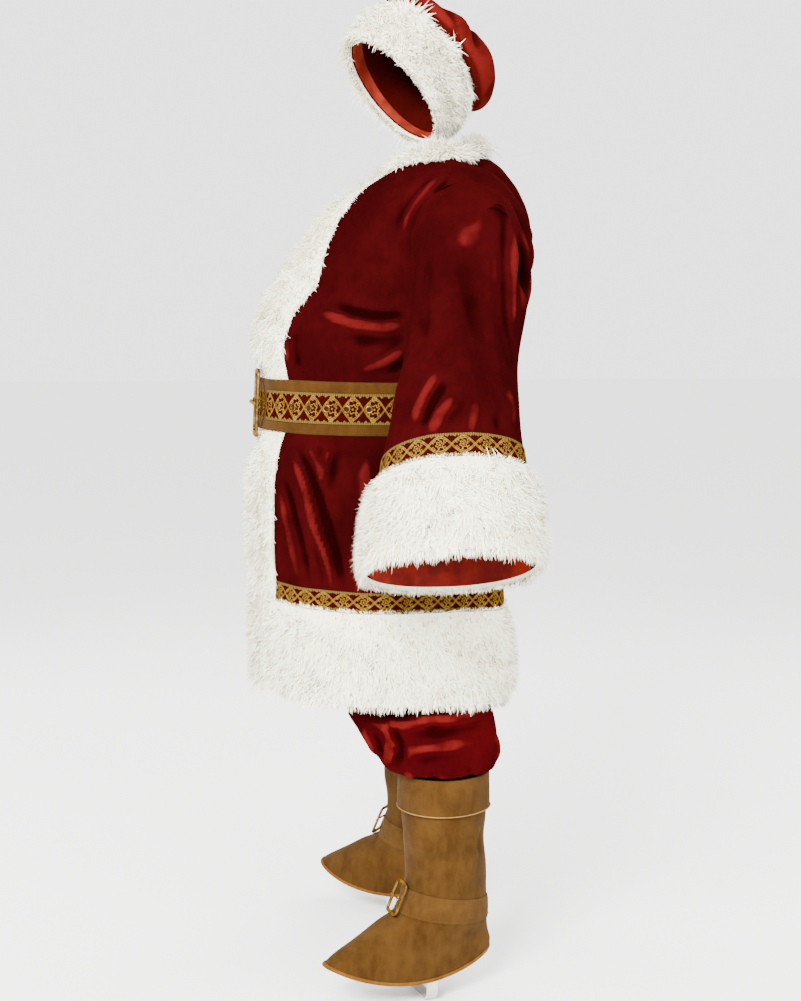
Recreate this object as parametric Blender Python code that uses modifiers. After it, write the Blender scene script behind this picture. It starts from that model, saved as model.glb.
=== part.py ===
"""Santa suit, worn: fur-trimmed velvet coat with its belt, trousers, hat and a pair of boot covers.

The wearer faces -Y, the wearer's left is +X and +Z is up. Heights below are measured from the ground
that the boots stand on, in metres, and the whole suit hangs from an empty, so that the origin lies
where the coat is held: the middle of the neckline.
"""

import math

import bpy
import numpy as np
from mathutils import Matrix, Vector
from mathutils.bvhtree import BVHTree

NECK_HEIGHT = 1.548       # middle of the neckline above the ground
SEAM_GAP = 0.0003         # between pieces that are sewn together
VELVET = 0.0020           # cloth walls
SATIN = 0.0010
SUEDE = 0.0022
BRAID = 0.0016
BAND_HALF_WIDTH = 0.135   # each front fur band, from centre front
FUR_DEPTH = 0.027         # how far the pile stands out
SIDES = {"left": 1, "right": -1}

COLOURS = {
    "velvet": ((0.075, 0.004, 0.004), 0.85, 0.0),
    "fur": ((0.87, 0.85, 0.76), 0.95, 0.0),
    "braid": ((0.20, 0.12, 0.03), 0.60, 0.2),
    "suede": ((0.20, 0.08, 0.016), 0.90, 0.0),
    "satin": ((0.35, 0.02, 0.012), 0.35, 0.0),
    "brass": ((0.60, 0.42, 0.14), 0.30, 1.0),
    "elastic": ((0.62, 0.60, 0.54), 0.80, 0.0),
}

for old in list(bpy.data.objects):
    bpy.data.objects.remove(old)

suit = bpy.data.collections.new("santa_suit")
bpy.context.scene.collection.children.link(suit)
hanger = bpy.data.objects.new("santa_suit", None)
suit.objects.link(hanger)
hanger.location = (0, 0, -NECK_HEIGHT)


def finish_of(name):
    """The Principled material of one finish, made once."""
    made = bpy.data.materials.get(name)
    if made:
        return made
    colour, roughness, metallic = COLOURS[name]
    made = bpy.data.materials.new(name)
    made.use_nodes = True
    shader = made.node_tree.nodes["Principled BSDF"]
    shader.inputs["Base Color"].default_value = (*colour, 1)
    shader.inputs["Roughness"].default_value = roughness
    shader.inputs["Metallic"].default_value = metallic
    made.diffuse_color = (*colour, 1)
    return made


def add_piece(name, points, faces, finish):
    """One sewn or fastened piece as an object of its own."""
    mesh = bpy.data.meshes.new(name)
    mesh.from_pydata([tuple(map(float, p)) for p in points], [], faces)
    mesh.validate()
    mesh.shade_smooth()
    mesh.set_sharp_from_angle(angle=math.radians(50))
    mesh.materials.append(finish_of(finish))
    piece = bpy.data.objects.new(name, mesh)
    suit.objects.link(piece)
    piece.parent = hanger
    return piece


def smooth(x):
    x = np.clip(x, 0, 1)
    return x * x * (3 - 2 * x)


def table_column(table, names, wanted, at, key):
    """Reads one named column of a table at the key values `at`, on a smooth curve through its rows."""
    rows = np.array([row[1:] for row in table], float)
    xs = rows[:, names.index(key)]
    ys = rows[:, names.index(wanted)]
    order = np.argsort(xs)
    xs, ys = xs[order], ys[order]
    slopes = np.gradient(ys, xs)
    at = np.clip(np.asarray(at, float), xs[0], xs[-1])
    k = np.clip(np.searchsorted(xs, at) - 1, 0, len(xs) - 2)
    span = xs[k + 1] - xs[k]
    t = (at - xs[k]) / span
    start = (1 + 2 * t) * (1 - t) ** 2 * ys[k] + t * (1 - t) ** 2 * span * slopes[k]
    end = t * t * (3 - 2 * t) * ys[k + 1] + t * t * (t - 1) * span * slopes[k + 1]
    return start + end


def unit(v):
    return v / np.maximum(np.linalg.norm(v, axis=-1, keepdims=True), 1e-12)


def normals_of(grid, closed):
    """Outward directions of a grid whose rows go up and whose columns run anticlockwise from above."""
    if closed:
        across = np.roll(grid, -1, 1) - np.roll(grid, 1, 1)
    else:
        across = np.gradient(grid, axis=1)
    along = np.gradient(grid, axis=0)
    return unit(np.cross(across, along))


def wall_faces(rows, columns, closed):
    """Faces of a closed wall: the outer grid's points come first, then the inner grid's."""
    inner = rows * columns
    last = columns if closed else columns - 1
    faces = []
    for r in range(rows - 1):
        for c in range(last):
            a, b = r * columns + c, r * columns + (c + 1) % columns
            for corner in ((a, b, b + columns), (a, b + columns, a + columns)):
                faces.append(corner)
                faces.append(tuple(inner + i for i in reversed(corner)))
    for c in range(last):
        low, low_next = c, (c + 1) % columns
        top, top_next = low + (rows - 1) * columns, low_next + (rows - 1) * columns
        faces.append((low, inner + low, inner + low_next, low_next))
        faces.append((top, top_next, inner + top_next, inner + top))
    if not closed:
        for r in range(rows - 1):
            first, first_up = r * columns, (r + 1) * columns
            end, end_up = first + columns - 1, first_up + columns - 1
            faces.append((first, first_up, inner + first_up, inner + first))
            faces.append((end, inner + end, inner + end_up, end_up))
    return faces


def add_wall(name, outer, inner, finish, closed=False):
    """A wall between two grids of the same size: cloth, a strap, or a fur strip with a rounded face."""
    rows, columns = outer.shape[:2]
    points = np.concatenate([outer.reshape(-1, 3), inner.reshape(-1, 3)])
    return add_piece(name, points, wall_faces(rows, columns, closed), finish)


def mirrored(grid):
    """The grid's mirror image across the middle plane, with its columns turned so it still faces out."""
    return (grid * np.array([-1, 1, 1]))[:, ::-1]


# Coat body. Rows of the table are level rings from the hem to the armpit; each gives its height at the
# front, side and back, its half width, the y of its widest line, and how far it reaches front and back.
BODY_COLUMNS = ["level", "z_front", "z_side", "z_back", "half_width", "y_mid", "y_front", "y_back"]
BODY_RINGS = [
    ("hem edge", 0.00, 0.580, 0.574, 0.542, 0.290, -0.120, -0.362, 0.112),
    ("fur middle", 0.12, 0.662, 0.655, 0.630, 0.288, -0.120, -0.363, 0.112),
    ("braid", 0.24, 0.757, 0.750, 0.730, 0.282, -0.119, -0.362, 0.110),
    ("skirt", 0.42, 0.895, 0.890, 0.872, 0.266, -0.114, -0.368, 0.110),
    ("below belt", 0.58, 1.025, 1.022, 1.014, 0.240, -0.108, -0.362, 0.112),
    ("belt", 0.67, 1.100, 1.096, 1.092, 0.226, -0.103, -0.344, 0.115),
    ("above belt", 0.76, 1.180, 1.172, 1.172, 0.234, -0.096, -0.354, 0.124),
    ("belly", 0.86, 1.255, 1.232, 1.240, 0.237, -0.070, -0.350, 0.136),
    ("armpit", 1.00, 1.345, 1.290, 1.330, 0.236, 0.012, -0.300, 0.150),
]
FUR_TOP, BRAID_BOTTOM, BRAID_TOP = 0.218, 0.222, 0.266
BELT_BOTTOM, BELT_TOP = 0.613, 0.727
BELT_BRAID_FROM, BELT_BRAID_TO = 0.637, 0.703
BODY_LEVELS = [0.0, 0.065, 0.135, 0.203, FUR_TOP, BRAID_BOTTOM, BRAID_TOP, 0.35, 0.45, 0.53, 0.590,
               BELT_BOTTOM, BELT_BRAID_FROM, BELT_BRAID_TO, BELT_TOP, 0.750, 0.82, 0.91, 1.0]
SQUARENESS = 2.3
YOKE_ROWS = 8             # rows from the armpit up to the shoulder seam
BAND_COLUMNS = 3          # grid columns across one front fur band
FRONT_COLUMNS = 9         # from centre front to the side seam
BACK_COLUMNS = 8          # from the side seam to centre back

# Folds of the skirt and body: where round the body (degrees from centre front), how wide, how deep,
# and the levels between which each one shows. A negative depth is a trough.
SKIRT_FOLDS = [
    ("front fold", 44, 9, 0.006, 0.24, 0.60),
    ("front trough", 60, 8, -0.007, 0.24, 0.60),
    ("side fold", 78, 10, 0.006, 0.10, 0.58),
    ("back trough", 118, 11, -0.007, 0.05, 0.60),
    ("back fold", 140, 12, 0.007, 0.05, 0.60),
    ("back middle", 165, 10, -0.005, 0.05, 0.58),
]
DRAG_FOLDS = [
    ("above belt", 62, 30, -0.006, 0.77, 0.83),
    ("belly", 55, 34, 0.004, 0.83, 0.90),
    ("blouse back", 150, 40, 0.007, 0.76, 0.84),
]


def fold_height(around, level):
    """How far the folds lift the cloth at an angle from centre front, in degrees, and a level."""
    lift = 0.0
    for _, middle, width, depth, low, high in SKIRT_FOLDS + DRAG_FOLDS:
        near = math.exp(-((abs(around) - middle) / width) ** 2)
        rise = smooth((level - low) / 0.06) * smooth((high - level) / 0.06)
        lift += depth * near * rise
    return lift


def ring_point(around, level):
    """A point of the coat body: `around` is 0 at centre front and 90 at the wearer's left side."""
    read = {key: float(table_column(BODY_RINGS, BODY_COLUMNS, key, level, "level"))
            for key in BODY_COLUMNS[1:]}
    angle = math.radians(around)
    sine, cosine = math.sin(angle), math.cos(angle)
    power = 2 / SQUARENESS
    reach = read["y_mid"] - read["y_front"] if cosine > 0 else read["y_back"] - read["y_mid"]
    lift = fold_height(around, level)
    x = (read["half_width"] + lift) * math.copysign(abs(sine) ** power, sine)
    y = read["y_mid"] - (reach + lift) * math.copysign(abs(cosine) ** power, cosine)
    level_z = read["z_front"] if cosine > 0 else read["z_back"]
    z = read["z_side"] + (level_z - read["z_side"]) * cosine * cosine
    return np.array([x, y, z])


def band_angle(level):
    """The angle round the body at which the front fur band ends."""
    half_width = float(table_column(BODY_RINGS, BODY_COLUMNS, "half_width", level, "level"))
    return math.degrees(math.asin((BAND_HALF_WIDTH / half_width) ** (SQUARENESS / 2)))


def front_angles(level):
    """Column angles of a front panel: even across the fur band, then even to the side seam."""
    edge = band_angle(level)
    across_band = np.linspace(0, edge, BAND_COLUMNS + 1)
    beyond = np.linspace(edge, 90, FRONT_COLUMNS - BAND_COLUMNS + 1)
    return np.concatenate([across_band, beyond[1:]])


# Neckline, shoulders and armholes.
NECK_HALF_WIDTH, NECK_MIDDLE_Y, NECK_HALF_DEPTH = 0.082, -0.020, 0.072
NECK_FRONT_Z, NECK_SIDE_Z, NECK_BACK_Z = 1.512, 1.573, 1.590
SHOULDER_TIP = np.array([0.218, 0.008, 1.508])
ARMHOLE_FRONT = np.array([0.208, -0.098, 1.400])
ARMHOLE_BACK = np.array([0.188, 0.114, 1.400])
CHEST_LINE = [(0.0, -0.300, 1.345), (0.0, -0.262, 1.392), (0.0, -0.208, 1.440), (0.0, -0.150, 1.480),
              (0.0, -0.092, 1.512)]
BACK_LINE = [(0.0, 0.150, 1.330), (0.0, 0.157, 1.400), (0.0, 0.152, 1.460), (0.0, 0.120, 1.528),
             (0.0, 0.052, 1.590)]


def curve_through(points, count):
    """Evenly spaced points on a smooth curve through the given ones."""
    points = np.array(points, float)
    steps = np.concatenate([[0], np.cumsum(np.linalg.norm(np.diff(points, axis=0), axis=1))])
    slopes = np.gradient(points, steps, axis=0)
    found = []
    for s in np.linspace(0, steps[-1], count):
        k = min(int(np.searchsorted(steps, s, side="right")) - 1, len(points) - 2)
        k = max(k, 0)
        span = steps[k + 1] - steps[k]
        t = (s - steps[k]) / span
        found.append((1 + 2 * t) * (1 - t) ** 2 * points[k] + t * (1 - t) ** 2 * span * slopes[k]
                     + t * t * (3 - 2 * t) * points[k + 1] + t * t * (t - 1) * span * slopes[k + 1])
    return np.array(found)


def neckline_point(around):
    """A point of the neckline, at an angle from centre front."""
    angle = math.radians(around)
    across, forward = math.sin(angle), math.cos(angle)
    end_z = NECK_FRONT_Z if forward > 0 else NECK_BACK_Z
    z = NECK_SIDE_Z + (end_z - NECK_SIDE_Z) * abs(forward) ** 1.5
    return np.array([NECK_HALF_WIDTH * across, NECK_MIDDLE_Y - NECK_HALF_DEPTH * forward, z])


def shoulder_seam(count):
    neck_point = neckline_point(90)
    middle = (neck_point + SHOULDER_TIP) / 2 + np.array([0, 0, 0.006])
    return curve_through([neck_point, middle, SHOULDER_TIP], count)


def yoke(bottom, centre, top, armhole):
    """A patch blended between its four edges: a panel from the armpit level to the shoulder seam."""
    rows, columns = len(centre), len(bottom)
    v = np.linspace(0, 1, rows)[:, None, None]
    u = np.linspace(0, 1, columns)[None, :, None]
    between_levels = (1 - v) * bottom[None] + v * top[None]
    between_sides = (1 - u) * centre[:, None] + u * armhole[:, None]
    corners = ((1 - u) * (1 - v) * bottom[0] + u * (1 - v) * bottom[-1]
               + (1 - u) * v * top[0] + u * v * top[-1])
    return between_levels + between_sides - corners


def round_over(patch, amount):
    """Lifts the middle of a yoke, so that the cloth rounds over the shoulder."""
    rows, columns = patch.shape[:2]
    v = np.linspace(0, 1, rows)[:, None]
    u = np.linspace(0, 1, columns)[None, :]
    lift = amount * np.sin(math.pi * v) ** 1.2 * np.sin(math.pi * np.clip(u, 0, 1)) ** 0.8
    return patch + lift[..., None] * np.array([0.25, 0, 1])


def front_grid():
    """Left front panel's outer points: rows from the hem to the shoulder, columns from centre front."""
    skirt = np.array([[ring_point(a, level) for a in front_angles(level)] for level in BODY_LEVELS])
    neck = [neckline_point(a) for a in np.linspace(0, 62, BAND_COLUMNS + 1)] + [neckline_point(90)]
    seam = shoulder_seam(FRONT_COLUMNS - BAND_COLUMNS)[1:]
    top = np.array(neck + list(seam))
    centre = curve_through(CHEST_LINE, YOKE_ROWS + 1)
    armhole = curve_through([skirt[-1, -1], (0.226, -0.062, 1.322), ARMHOLE_FRONT,
                             (0.212, -0.060, 1.482), SHOULDER_TIP], YOKE_ROWS + 1)
    patch = yoke(skirt[-1], centre, top, armhole)
    return np.concatenate([skirt, round_over(patch, 0.020)[1:]])


def back_grid():
    """The left half of the back: columns from the side seam to centre back."""
    angles = np.linspace(90, 180, BACK_COLUMNS + 1)
    skirt = np.array([[ring_point(a, level) for a in angles] for level in BODY_LEVELS])
    seam = shoulder_seam(FRONT_COLUMNS - BAND_COLUMNS)[::-1]
    neck_steps = BACK_COLUMNS - (len(seam) - 1)
    neck = [neckline_point(a) for a in np.linspace(90, 180, neck_steps + 1)[1:]]
    top = np.array(list(seam) + neck)
    centre = curve_through(BACK_LINE, YOKE_ROWS + 1)
    armhole = curve_through([skirt[-1, 0], (0.214, 0.084, 1.325), ARMHOLE_BACK,
                             (0.206, 0.076, 1.482), SHOULDER_TIP], YOKE_ROWS + 1)
    patch = yoke(skirt[-1][::-1], centre, top[::-1], armhole)[:, ::-1]
    return np.concatenate([skirt, round_over(patch, 0.016)[1:]])


front_left = front_grid()
back_half = back_grid()
back_whole = np.concatenate([back_half, mirrored(back_half)[:, 1:]], axis=1)


def coat_normals():
    """Directions out of the cloth, shared along the seams so that neighbouring edges are mitred."""
    front, back = normals_of(front_left, False), normals_of(back_whole, False)
    half = back[:, :BACK_COLUMNS + 1]
    side = len(BODY_LEVELS)
    ring = np.concatenate([front_left[:side], back_half[:side, 1:]], axis=1)
    shared = normals_of(ring, False)
    front[:side], half[:side] = shared[:, :FRONT_COLUMNS + 1], shared[:, FRONT_COLUMNS:]
    front[:, 0] = unit(front[:, 0] * np.array([0, 1, 1]))
    half[:, -1] = unit(half[:, -1] * np.array([0, 1, 1]))
    seam = FRONT_COLUMNS - BAND_COLUMNS
    ridge = unit(front[-1, -seam:] + half[-1, :seam][::-1])
    front[-1, -seam:], half[-1, :seam] = ridge, ridge[::-1]
    return front, np.concatenate([half, mirrored(half)[:, 1:]], axis=1)


front_out, back_out = coat_normals()


def armhole_loop():
    """The left armhole's edge, from the armpit over the front to the shoulder tip and down the back."""
    low = len(BODY_LEVELS) - 1
    up_front, down_back = front_left[low:, -1], back_half[low:, 0][::-1]
    return np.concatenate([up_front, down_back[1:-1]])


def armhole_normals():
    low = len(BODY_LEVELS) - 1
    return np.concatenate([front_out[low:, -1], back_out[low:, 0][::-1][1:-1]])


# Sleeve. Each row of the table is a tilted ring: its innermost and outermost points seen from the
# front, then the y of its middle and half its depth from front to back.
SLEEVE_COLUMNS = ["along", "x_in", "z_in", "x_out", "z_out", "y_mid", "half_depth"]
SLEEVE_RINGS = [
    ("armhole", 0.00, 0.238, 1.290, 0.218, 1.510, 0.012, 0.110),
    ("cap", 0.14, 0.246, 1.262, 0.286, 1.455, 0.008, 0.108),
    ("upper arm", 0.30, 0.252, 1.212, 0.340, 1.350, -0.008, 0.103),
    ("elbow", 0.46, 0.256, 1.140, 0.402, 1.240, -0.029, 0.101),
    ("forearm", 0.62, 0.268, 1.052, 0.468, 1.152, -0.043, 0.109),
    ("braid top", 0.76, 0.284, 0.962, 0.522, 1.066, -0.054, 0.122),
    ("fur top", 0.82, 0.292, 0.922, 0.542, 1.028, -0.056, 0.128),
    ("cuff edge", 1.00, 0.314, 0.785, 0.586, 0.898, -0.062, 0.148),
]
CUFF_BRAID_FROM, CUFF_BRAID_TO, CUFF_FUR_FROM = 0.752, 0.808, 0.812
SLEEVE_STEPS = [0.0, 0.06, 0.13, 0.21, 0.31, 0.42, 0.53, 0.64, CUFF_BRAID_FROM, CUFF_BRAID_TO,
                CUFF_FUR_FROM, 0.835, 0.92, 1.0]
LOOP = 2 * YOKE_ROWS      # points round the armhole and so round the sleeve
SLEEVE_SQUARENESS = 2.25

# Folds down the sleeve: round it (0 innermost, 90 front, 180 outermost, 270 back), width, depth, extent.
SLEEVE_FOLDS = [
    ("front drag", 118, 13, 0.006, 0.08, 0.55),
    ("front trough", 88, 12, -0.007, 0.05, 0.50),
    ("outer fold", 205, 16, 0.005, 0.15, 0.74),
    ("back fold", 262, 12, 0.008, 0.06, 0.60),
    ("back trough", 238, 11, -0.006, 0.10, 0.66),
]


def sleeve_ring(along):
    """One ring of the left sleeve, blended from the armhole's own outline into an oval."""
    read = {key: float(table_column(SLEEVE_RINGS, SLEEVE_COLUMNS, key, along, "along"))
            for key in SLEEVE_COLUMNS[1:]}
    inner = np.array([read["x_in"], read["y_mid"], read["z_in"]])
    outer = np.array([read["x_out"], read["y_mid"], read["z_out"]])
    middle, reach = (inner + outer) / 2, (inner - outer) / 2
    depth = np.array([0, read["half_depth"], 0])
    points = []
    for k in range(LOOP):
        around = 360 * k / LOOP
        angle = math.radians(around)
        sine, cosine = math.sin(angle), math.cos(angle)
        power = 2 / SLEEVE_SQUARENESS
        lift = 1.0
        for _, place, width, height, low, high in SLEEVE_FOLDS:
            near = math.exp(-((around - place) / width) ** 2)
            lift += height / 0.12 * near * smooth((along - low) / 0.1) * smooth((high - along) / 0.1)
        points.append(middle + lift * (reach * math.copysign(abs(cosine) ** power, cosine)
                                       - depth * math.copysign(abs(sine) ** power, sine)))
    return np.array(points)


def sleeve_grid():
    """Rows from the armhole down to the cuff."""
    start = armhole_loop()
    blend_end = 0.30
    rings = [sleeve_ring(s) for s in SLEEVE_STEPS]
    offset = start - rings[0]
    return np.array([ring + offset * (1 - smooth(s / blend_end)) for ring, s in zip(rings, SLEEVE_STEPS)])


def coat_surface():
    """The coat body as one surface, for what rests on it or hangs beside it."""
    points, faces = [], []
    for grid in (front_left, back_whole, mirrored(front_left)):
        start, (rows, columns) = len(points), grid.shape[:2]
        points += [Vector(map(float, p)) for p in grid.reshape(-1, 3)]
        corner = [start + r * columns + c for r in range(rows - 1) for c in range(columns - 1)]
        faces += [(i, i + 1, i + columns + 1) for i in corner]
        faces += [(i, i + columns + 1, i + columns) for i in corner]
    return BVHTree.FromPolygons(points, faces)


def held_clear(grid, surface, clearance):
    """Pushes points of a grid out of a surface, until each is at least the clearance away from it."""
    moved = grid.copy()
    for index in np.ndindex(grid.shape[:2]):
        for _ in range(3):
            near, way, _, _ = surface.find_nearest(Vector(map(float, moved[index])))
            apart = (Vector(map(float, moved[index])) - near).dot(way)
            if apart < clearance:
                moved[index] += np.array(way) * (clearance - apart)
    return moved


body_surface = coat_surface()
sleeve_left = sleeve_grid()
sleeve_left[1:] = held_clear(sleeve_left[1:], body_surface, 0.003)
sleeve_out = normals_of(sleeve_left[::-1], True)[::-1]


def mitre_armhole():
    """Coat and sleeve share one direction where they meet, except under the arm, where they part."""
    coat, sleeve = armhole_normals(), sleeve_out[0].copy()
    height = armhole_loop()[:, 2]
    share = smooth((height - 1.315) / 0.05)[:, None]
    coat_way, sleeve_way = unit(coat + share * sleeve), unit(sleeve + share * coat)
    low = len(BODY_LEVELS) - 1
    front_out[low:, -1] = coat_way[:YOKE_ROWS + 1]
    back_rows = np.concatenate([coat_way[YOKE_ROWS:], coat_way[:1]])[::-1]
    back_out[low:, 0] = back_rows
    back_out[low:, -1] = back_rows * np.array([-1, 1, 1])
    sleeve_out[0] = sleeve_way
    front_out[-1, -1] = back_out[-1, 0] = coat_way[YOKE_ROWS]
    back_out[-1, -1] = back_out[-1, 0] * np.array([-1, 1, 1])


mitre_armhole()


def pull_in(grid, columns=(0, -1), amount=SEAM_GAP / 2):
    """Moves a grid's side edges in by half a seam's gap."""
    moved = grid.copy()
    for column in columns:
        neighbour = 1 if column == 0 else -2
        moved[:, column] += amount * unit(grid[:, neighbour] - grid[:, column])
    return moved


def drop_top(grid, columns, amount=SEAM_GAP / 2):
    """Moves the shoulder edge down by half a seam's gap."""
    grid[-1, columns] += amount * unit(grid[-2, columns] - grid[-1, columns])
    return grid


def build_coat_body():
    seam = FRONT_COLUMNS - BAND_COLUMNS
    front = drop_top(pull_in(front_left), slice(-seam, None))
    front_inner = drop_top(pull_in(front_left - VELVET * front_out), slice(-seam, None))
    add_wall("coat_front_left", front, front_inner, "velvet")
    add_wall("coat_front_right", mirrored(front), mirrored(front_inner), "velvet")
    back = drop_top(pull_in(back_whole), slice(0, seam))
    back = drop_top(back, slice(-seam, None))
    inner = drop_top(pull_in(back_whole - VELVET * back_out), slice(0, seam))
    inner = drop_top(inner, slice(-seam, None))
    add_wall("coat_back", back, inner, "velvet")


def flip_rows(grid):
    """Sleeve grids run down the arm; turned over, their rows go up as in every other wall."""
    return grid[::-1]


def add_pair_of_tubes(name, outer, inner, finish):
    """The left piece round the sleeve, and the right one as its mirror image."""
    add_wall(f"{name}_left", flip_rows(outer), flip_rows(inner), finish, closed=True)
    add_wall(f"{name}_right", mirrored(flip_rows(outer)), mirrored(flip_rows(inner)), finish, closed=True)


def build_sleeves():
    grid = sleeve_left.copy()
    low = smooth((1.35 - grid[0, :, 2]) / 0.035)[:, None]
    along = unit(sleeve_left[1] - sleeve_left[0])
    grid[0] += along * SEAM_GAP * 1.5 + low * np.array([0.0024, 0, 0])
    add_pair_of_tubes("coat_sleeve", grid, grid - VELVET * sleeve_out, "velvet")


LINING_FROM = SLEEVE_STEPS.index(CUFF_BRAID_TO)   # the lining shows inside the cuff, from here down
CUFF_ROLL = 0.010         # the fur's roll below the cloth's edge
CUFF_SECTION = [0.35, 0.90, 1.04, 0.95, 0.45]     # the pile's depth down the cuff


def build_cuffs():
    """Fur, braid and the strip of lining that shows, all moved out or in from the sleeve's points."""
    shell, out = sleeve_left, sleeve_out
    inside = shell[LINING_FROM:] - (VELVET + SEAM_GAP) * out[LINING_FROM:]
    add_pair_of_tubes("sleeve_lining", inside, inside - SATIN * out[LINING_FROM:], "satin")
    braid = slice(SLEEVE_STEPS.index(CUFF_BRAID_FROM), SLEEVE_STEPS.index(CUFF_BRAID_TO) + 1)
    lying = shell[braid] + SEAM_GAP * out[braid]
    add_pair_of_tubes("cuff_braid", lying + BRAID * out[braid], lying, "braid")
    first = SLEEVE_STEPS.index(CUFF_FUR_FROM)
    rows = list(range(first, len(SLEEVE_STEPS))) + [-1]
    height = np.array(CUFF_SECTION)[:, None, None]
    around = np.linspace(0, 2 * math.pi, LOOP, endpoint=False)
    pressed = (1 - 0.40 * smooth((np.cos(around) - 0.3) / 0.6))[None, :, None]
    base = shell[rows].copy()
    down = unit(shell[-1] - shell[-2])
    base[-2] += CUFF_ROLL * 0.3 * down
    base[-1] += CUFF_ROLL * down
    pile = held_clear(base + FUR_DEPTH * height * pressed * out[rows], body_surface, 0.003)
    add_pair_of_tubes("cuff_fur", pile, base + SEAM_GAP * out[rows], "fur")


HEM_ROLL = 0.010          # the fur's roll below the cloth's edge
HEM_END_GAP = 0.0006      # between the hem's trims and the front bands
HEM_SECTION = [0.45, 0.95, 1.04, 1.04, 0.90, 0.35]     # the pile's depth up the hem


def body_ring(levels):
    """Points and directions all round the body, from the left band edge round the back to the right."""
    front, front_way = front_left[levels], front_out[levels]
    points = np.concatenate([front, back_whole[levels][:, 1:], mirrored(front)[:, 1:]], axis=1)
    ways = np.concatenate([front_way, back_out[levels][:, 1:], mirrored(front_way)[:, 1:]], axis=1)
    return points, ways


def build_hem():
    start, end = BAND_COLUMNS, -BAND_COLUMNS
    points, ways = body_ring([BODY_LEVELS.index(BRAID_BOTTOM), BODY_LEVELS.index(BRAID_TOP)])
    points, ways = points[:, start:end], ways[:, start:end]
    lying = pull_in(points + SEAM_GAP * ways, amount=HEM_END_GAP)
    add_wall("hem_braid", lying + BRAID * ways, lying, "braid")
    rows = [0] + list(range(BODY_LEVELS.index(FUR_TOP) + 1))
    points, ways = body_ring(rows)
    points, ways = points[:, start:end].copy(), ways[:, start:end]
    down = unit(points[1] - points[2])
    points[0] += HEM_ROLL * down
    points[1] += 0.3 * HEM_ROLL * down
    height = np.array(HEM_SECTION)[:, None, None]
    base = pull_in(points, amount=HEM_END_GAP)
    add_wall("hem_fur", base + FUR_DEPTH * height * ways, base + SEAM_GAP * ways, "fur")


BAND_TOP_ROW = len(BODY_LEVELS) + YOKE_ROWS - 3   # the bands stop under the collar
BELT_PRESS = 0.26         # share of the pile's depth left under the belt
BELOW_BELT_PRESS = 0.26   # and just below and above the belt, where the buckle holds it down
ABOVE_BELT_PRESS = 0.30
BAND_SECTION = [1.0, 1.05, 0.98, 0.35]            # the pile's depth across a band
BELT_THICK = 0.004


def band_press(row):
    """Share of the pile left at a row of the body grid: it is flattened under the belt."""
    if row >= len(BODY_LEVELS):
        return 0.75 if row == BAND_TOP_ROW else 1.0
    level = BODY_LEVELS[row]
    if BELT_BOTTOM <= level <= BELT_TOP:
        return BELT_PRESS
    if row == BODY_LEVELS.index(BELT_BOTTOM) - 1:
        return BELOW_BELT_PRESS
    return ABOVE_BELT_PRESS if row == BODY_LEVELS.index(BELT_TOP) + 1 else 1.0


def build_front_bands():
    """Fur strips down both fronts: full pile, pressed flat under the belt, rounded at the outer edge."""
    rows = list(range(BAND_TOP_ROW + 1))
    pressed = np.array([band_press(row) for row in rows])
    height = (FUR_DEPTH * pressed[:, None] * np.array(BAND_SECTION)[None, :])[..., None]
    points = front_left[rows][:, :BAND_COLUMNS + 1].copy()
    ways = front_out[rows][:, :BAND_COLUMNS + 1]
    points[0] -= HEM_ROLL * unit(points[1] - points[0])
    points = pull_in(points, columns=(0,))
    outer, inner = points + height * ways, points + SEAM_GAP * ways
    add_wall("front_fur_left", outer, inner, "fur")
    add_wall("front_fur_right", mirrored(outer), mirrored(inner), "fur")


COLLAR_SIDES = 24
COLLAR_WIDER_FRONT = 0.48 # the collar is this share wider in front than at the side, and narrower behind
COLLAR_CLEAR = 0.0010     # the roll lies this close to the coat
COLLAR_SECTION = [("neck edge", 0.001, 0.026), ("crown", 0.012, 0.032), ("fall", 0.024, 0.027),
                  ("outer edge", 0.034, 0.013)]   # how far out over the shoulder, and how thick


def collar_spot(step, out):
    angle = 2 * math.pi * step / COLLAR_SIDES
    way = np.array([math.sin(angle), -math.cos(angle), 0])
    reach = out * (1 + COLLAR_WIDER_FRONT * math.cos(angle))
    return neckline_point(360 * step / COLLAR_SIDES) + way * reach, way


def coat_height(spot):
    hit = body_surface.ray_cast(Vector((float(spot[0]), float(spot[1]), 1.75)), Vector((0, 0, -1)))[0]
    return hit.z if hit else float(spot[2])


def lift_clear(rest, spots):
    """Raises the corners of each facet of the roll's underside until it clears the coat."""
    shares = [(i / 5, j / 5) for i in range(6) for j in range(6 - i)]
    for row in range(1, len(rest)):
        for k in range(COLLAR_SIDES):
            after = (k + 1) % COLLAR_SIDES
            for facet in (((row, k), (row, after), (row - 1, after)),
                          ((row, k), (row - 1, after), (row - 1, k))):
                sunk = 0.0
                for first, second in shares:
                    weights = (first, second, 1 - first - second)
                    spot = sum(w * spots[corner] for w, corner in zip(weights, facet))
                    height = sum(w * rest[corner] for w, corner in zip(weights, facet))
                    sunk = max(sunk, coat_height((*spot, height - COLLAR_CLEAR)) + COLLAR_CLEAR - height)
                for corner in facet:
                    rest[corner] += sunk


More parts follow.
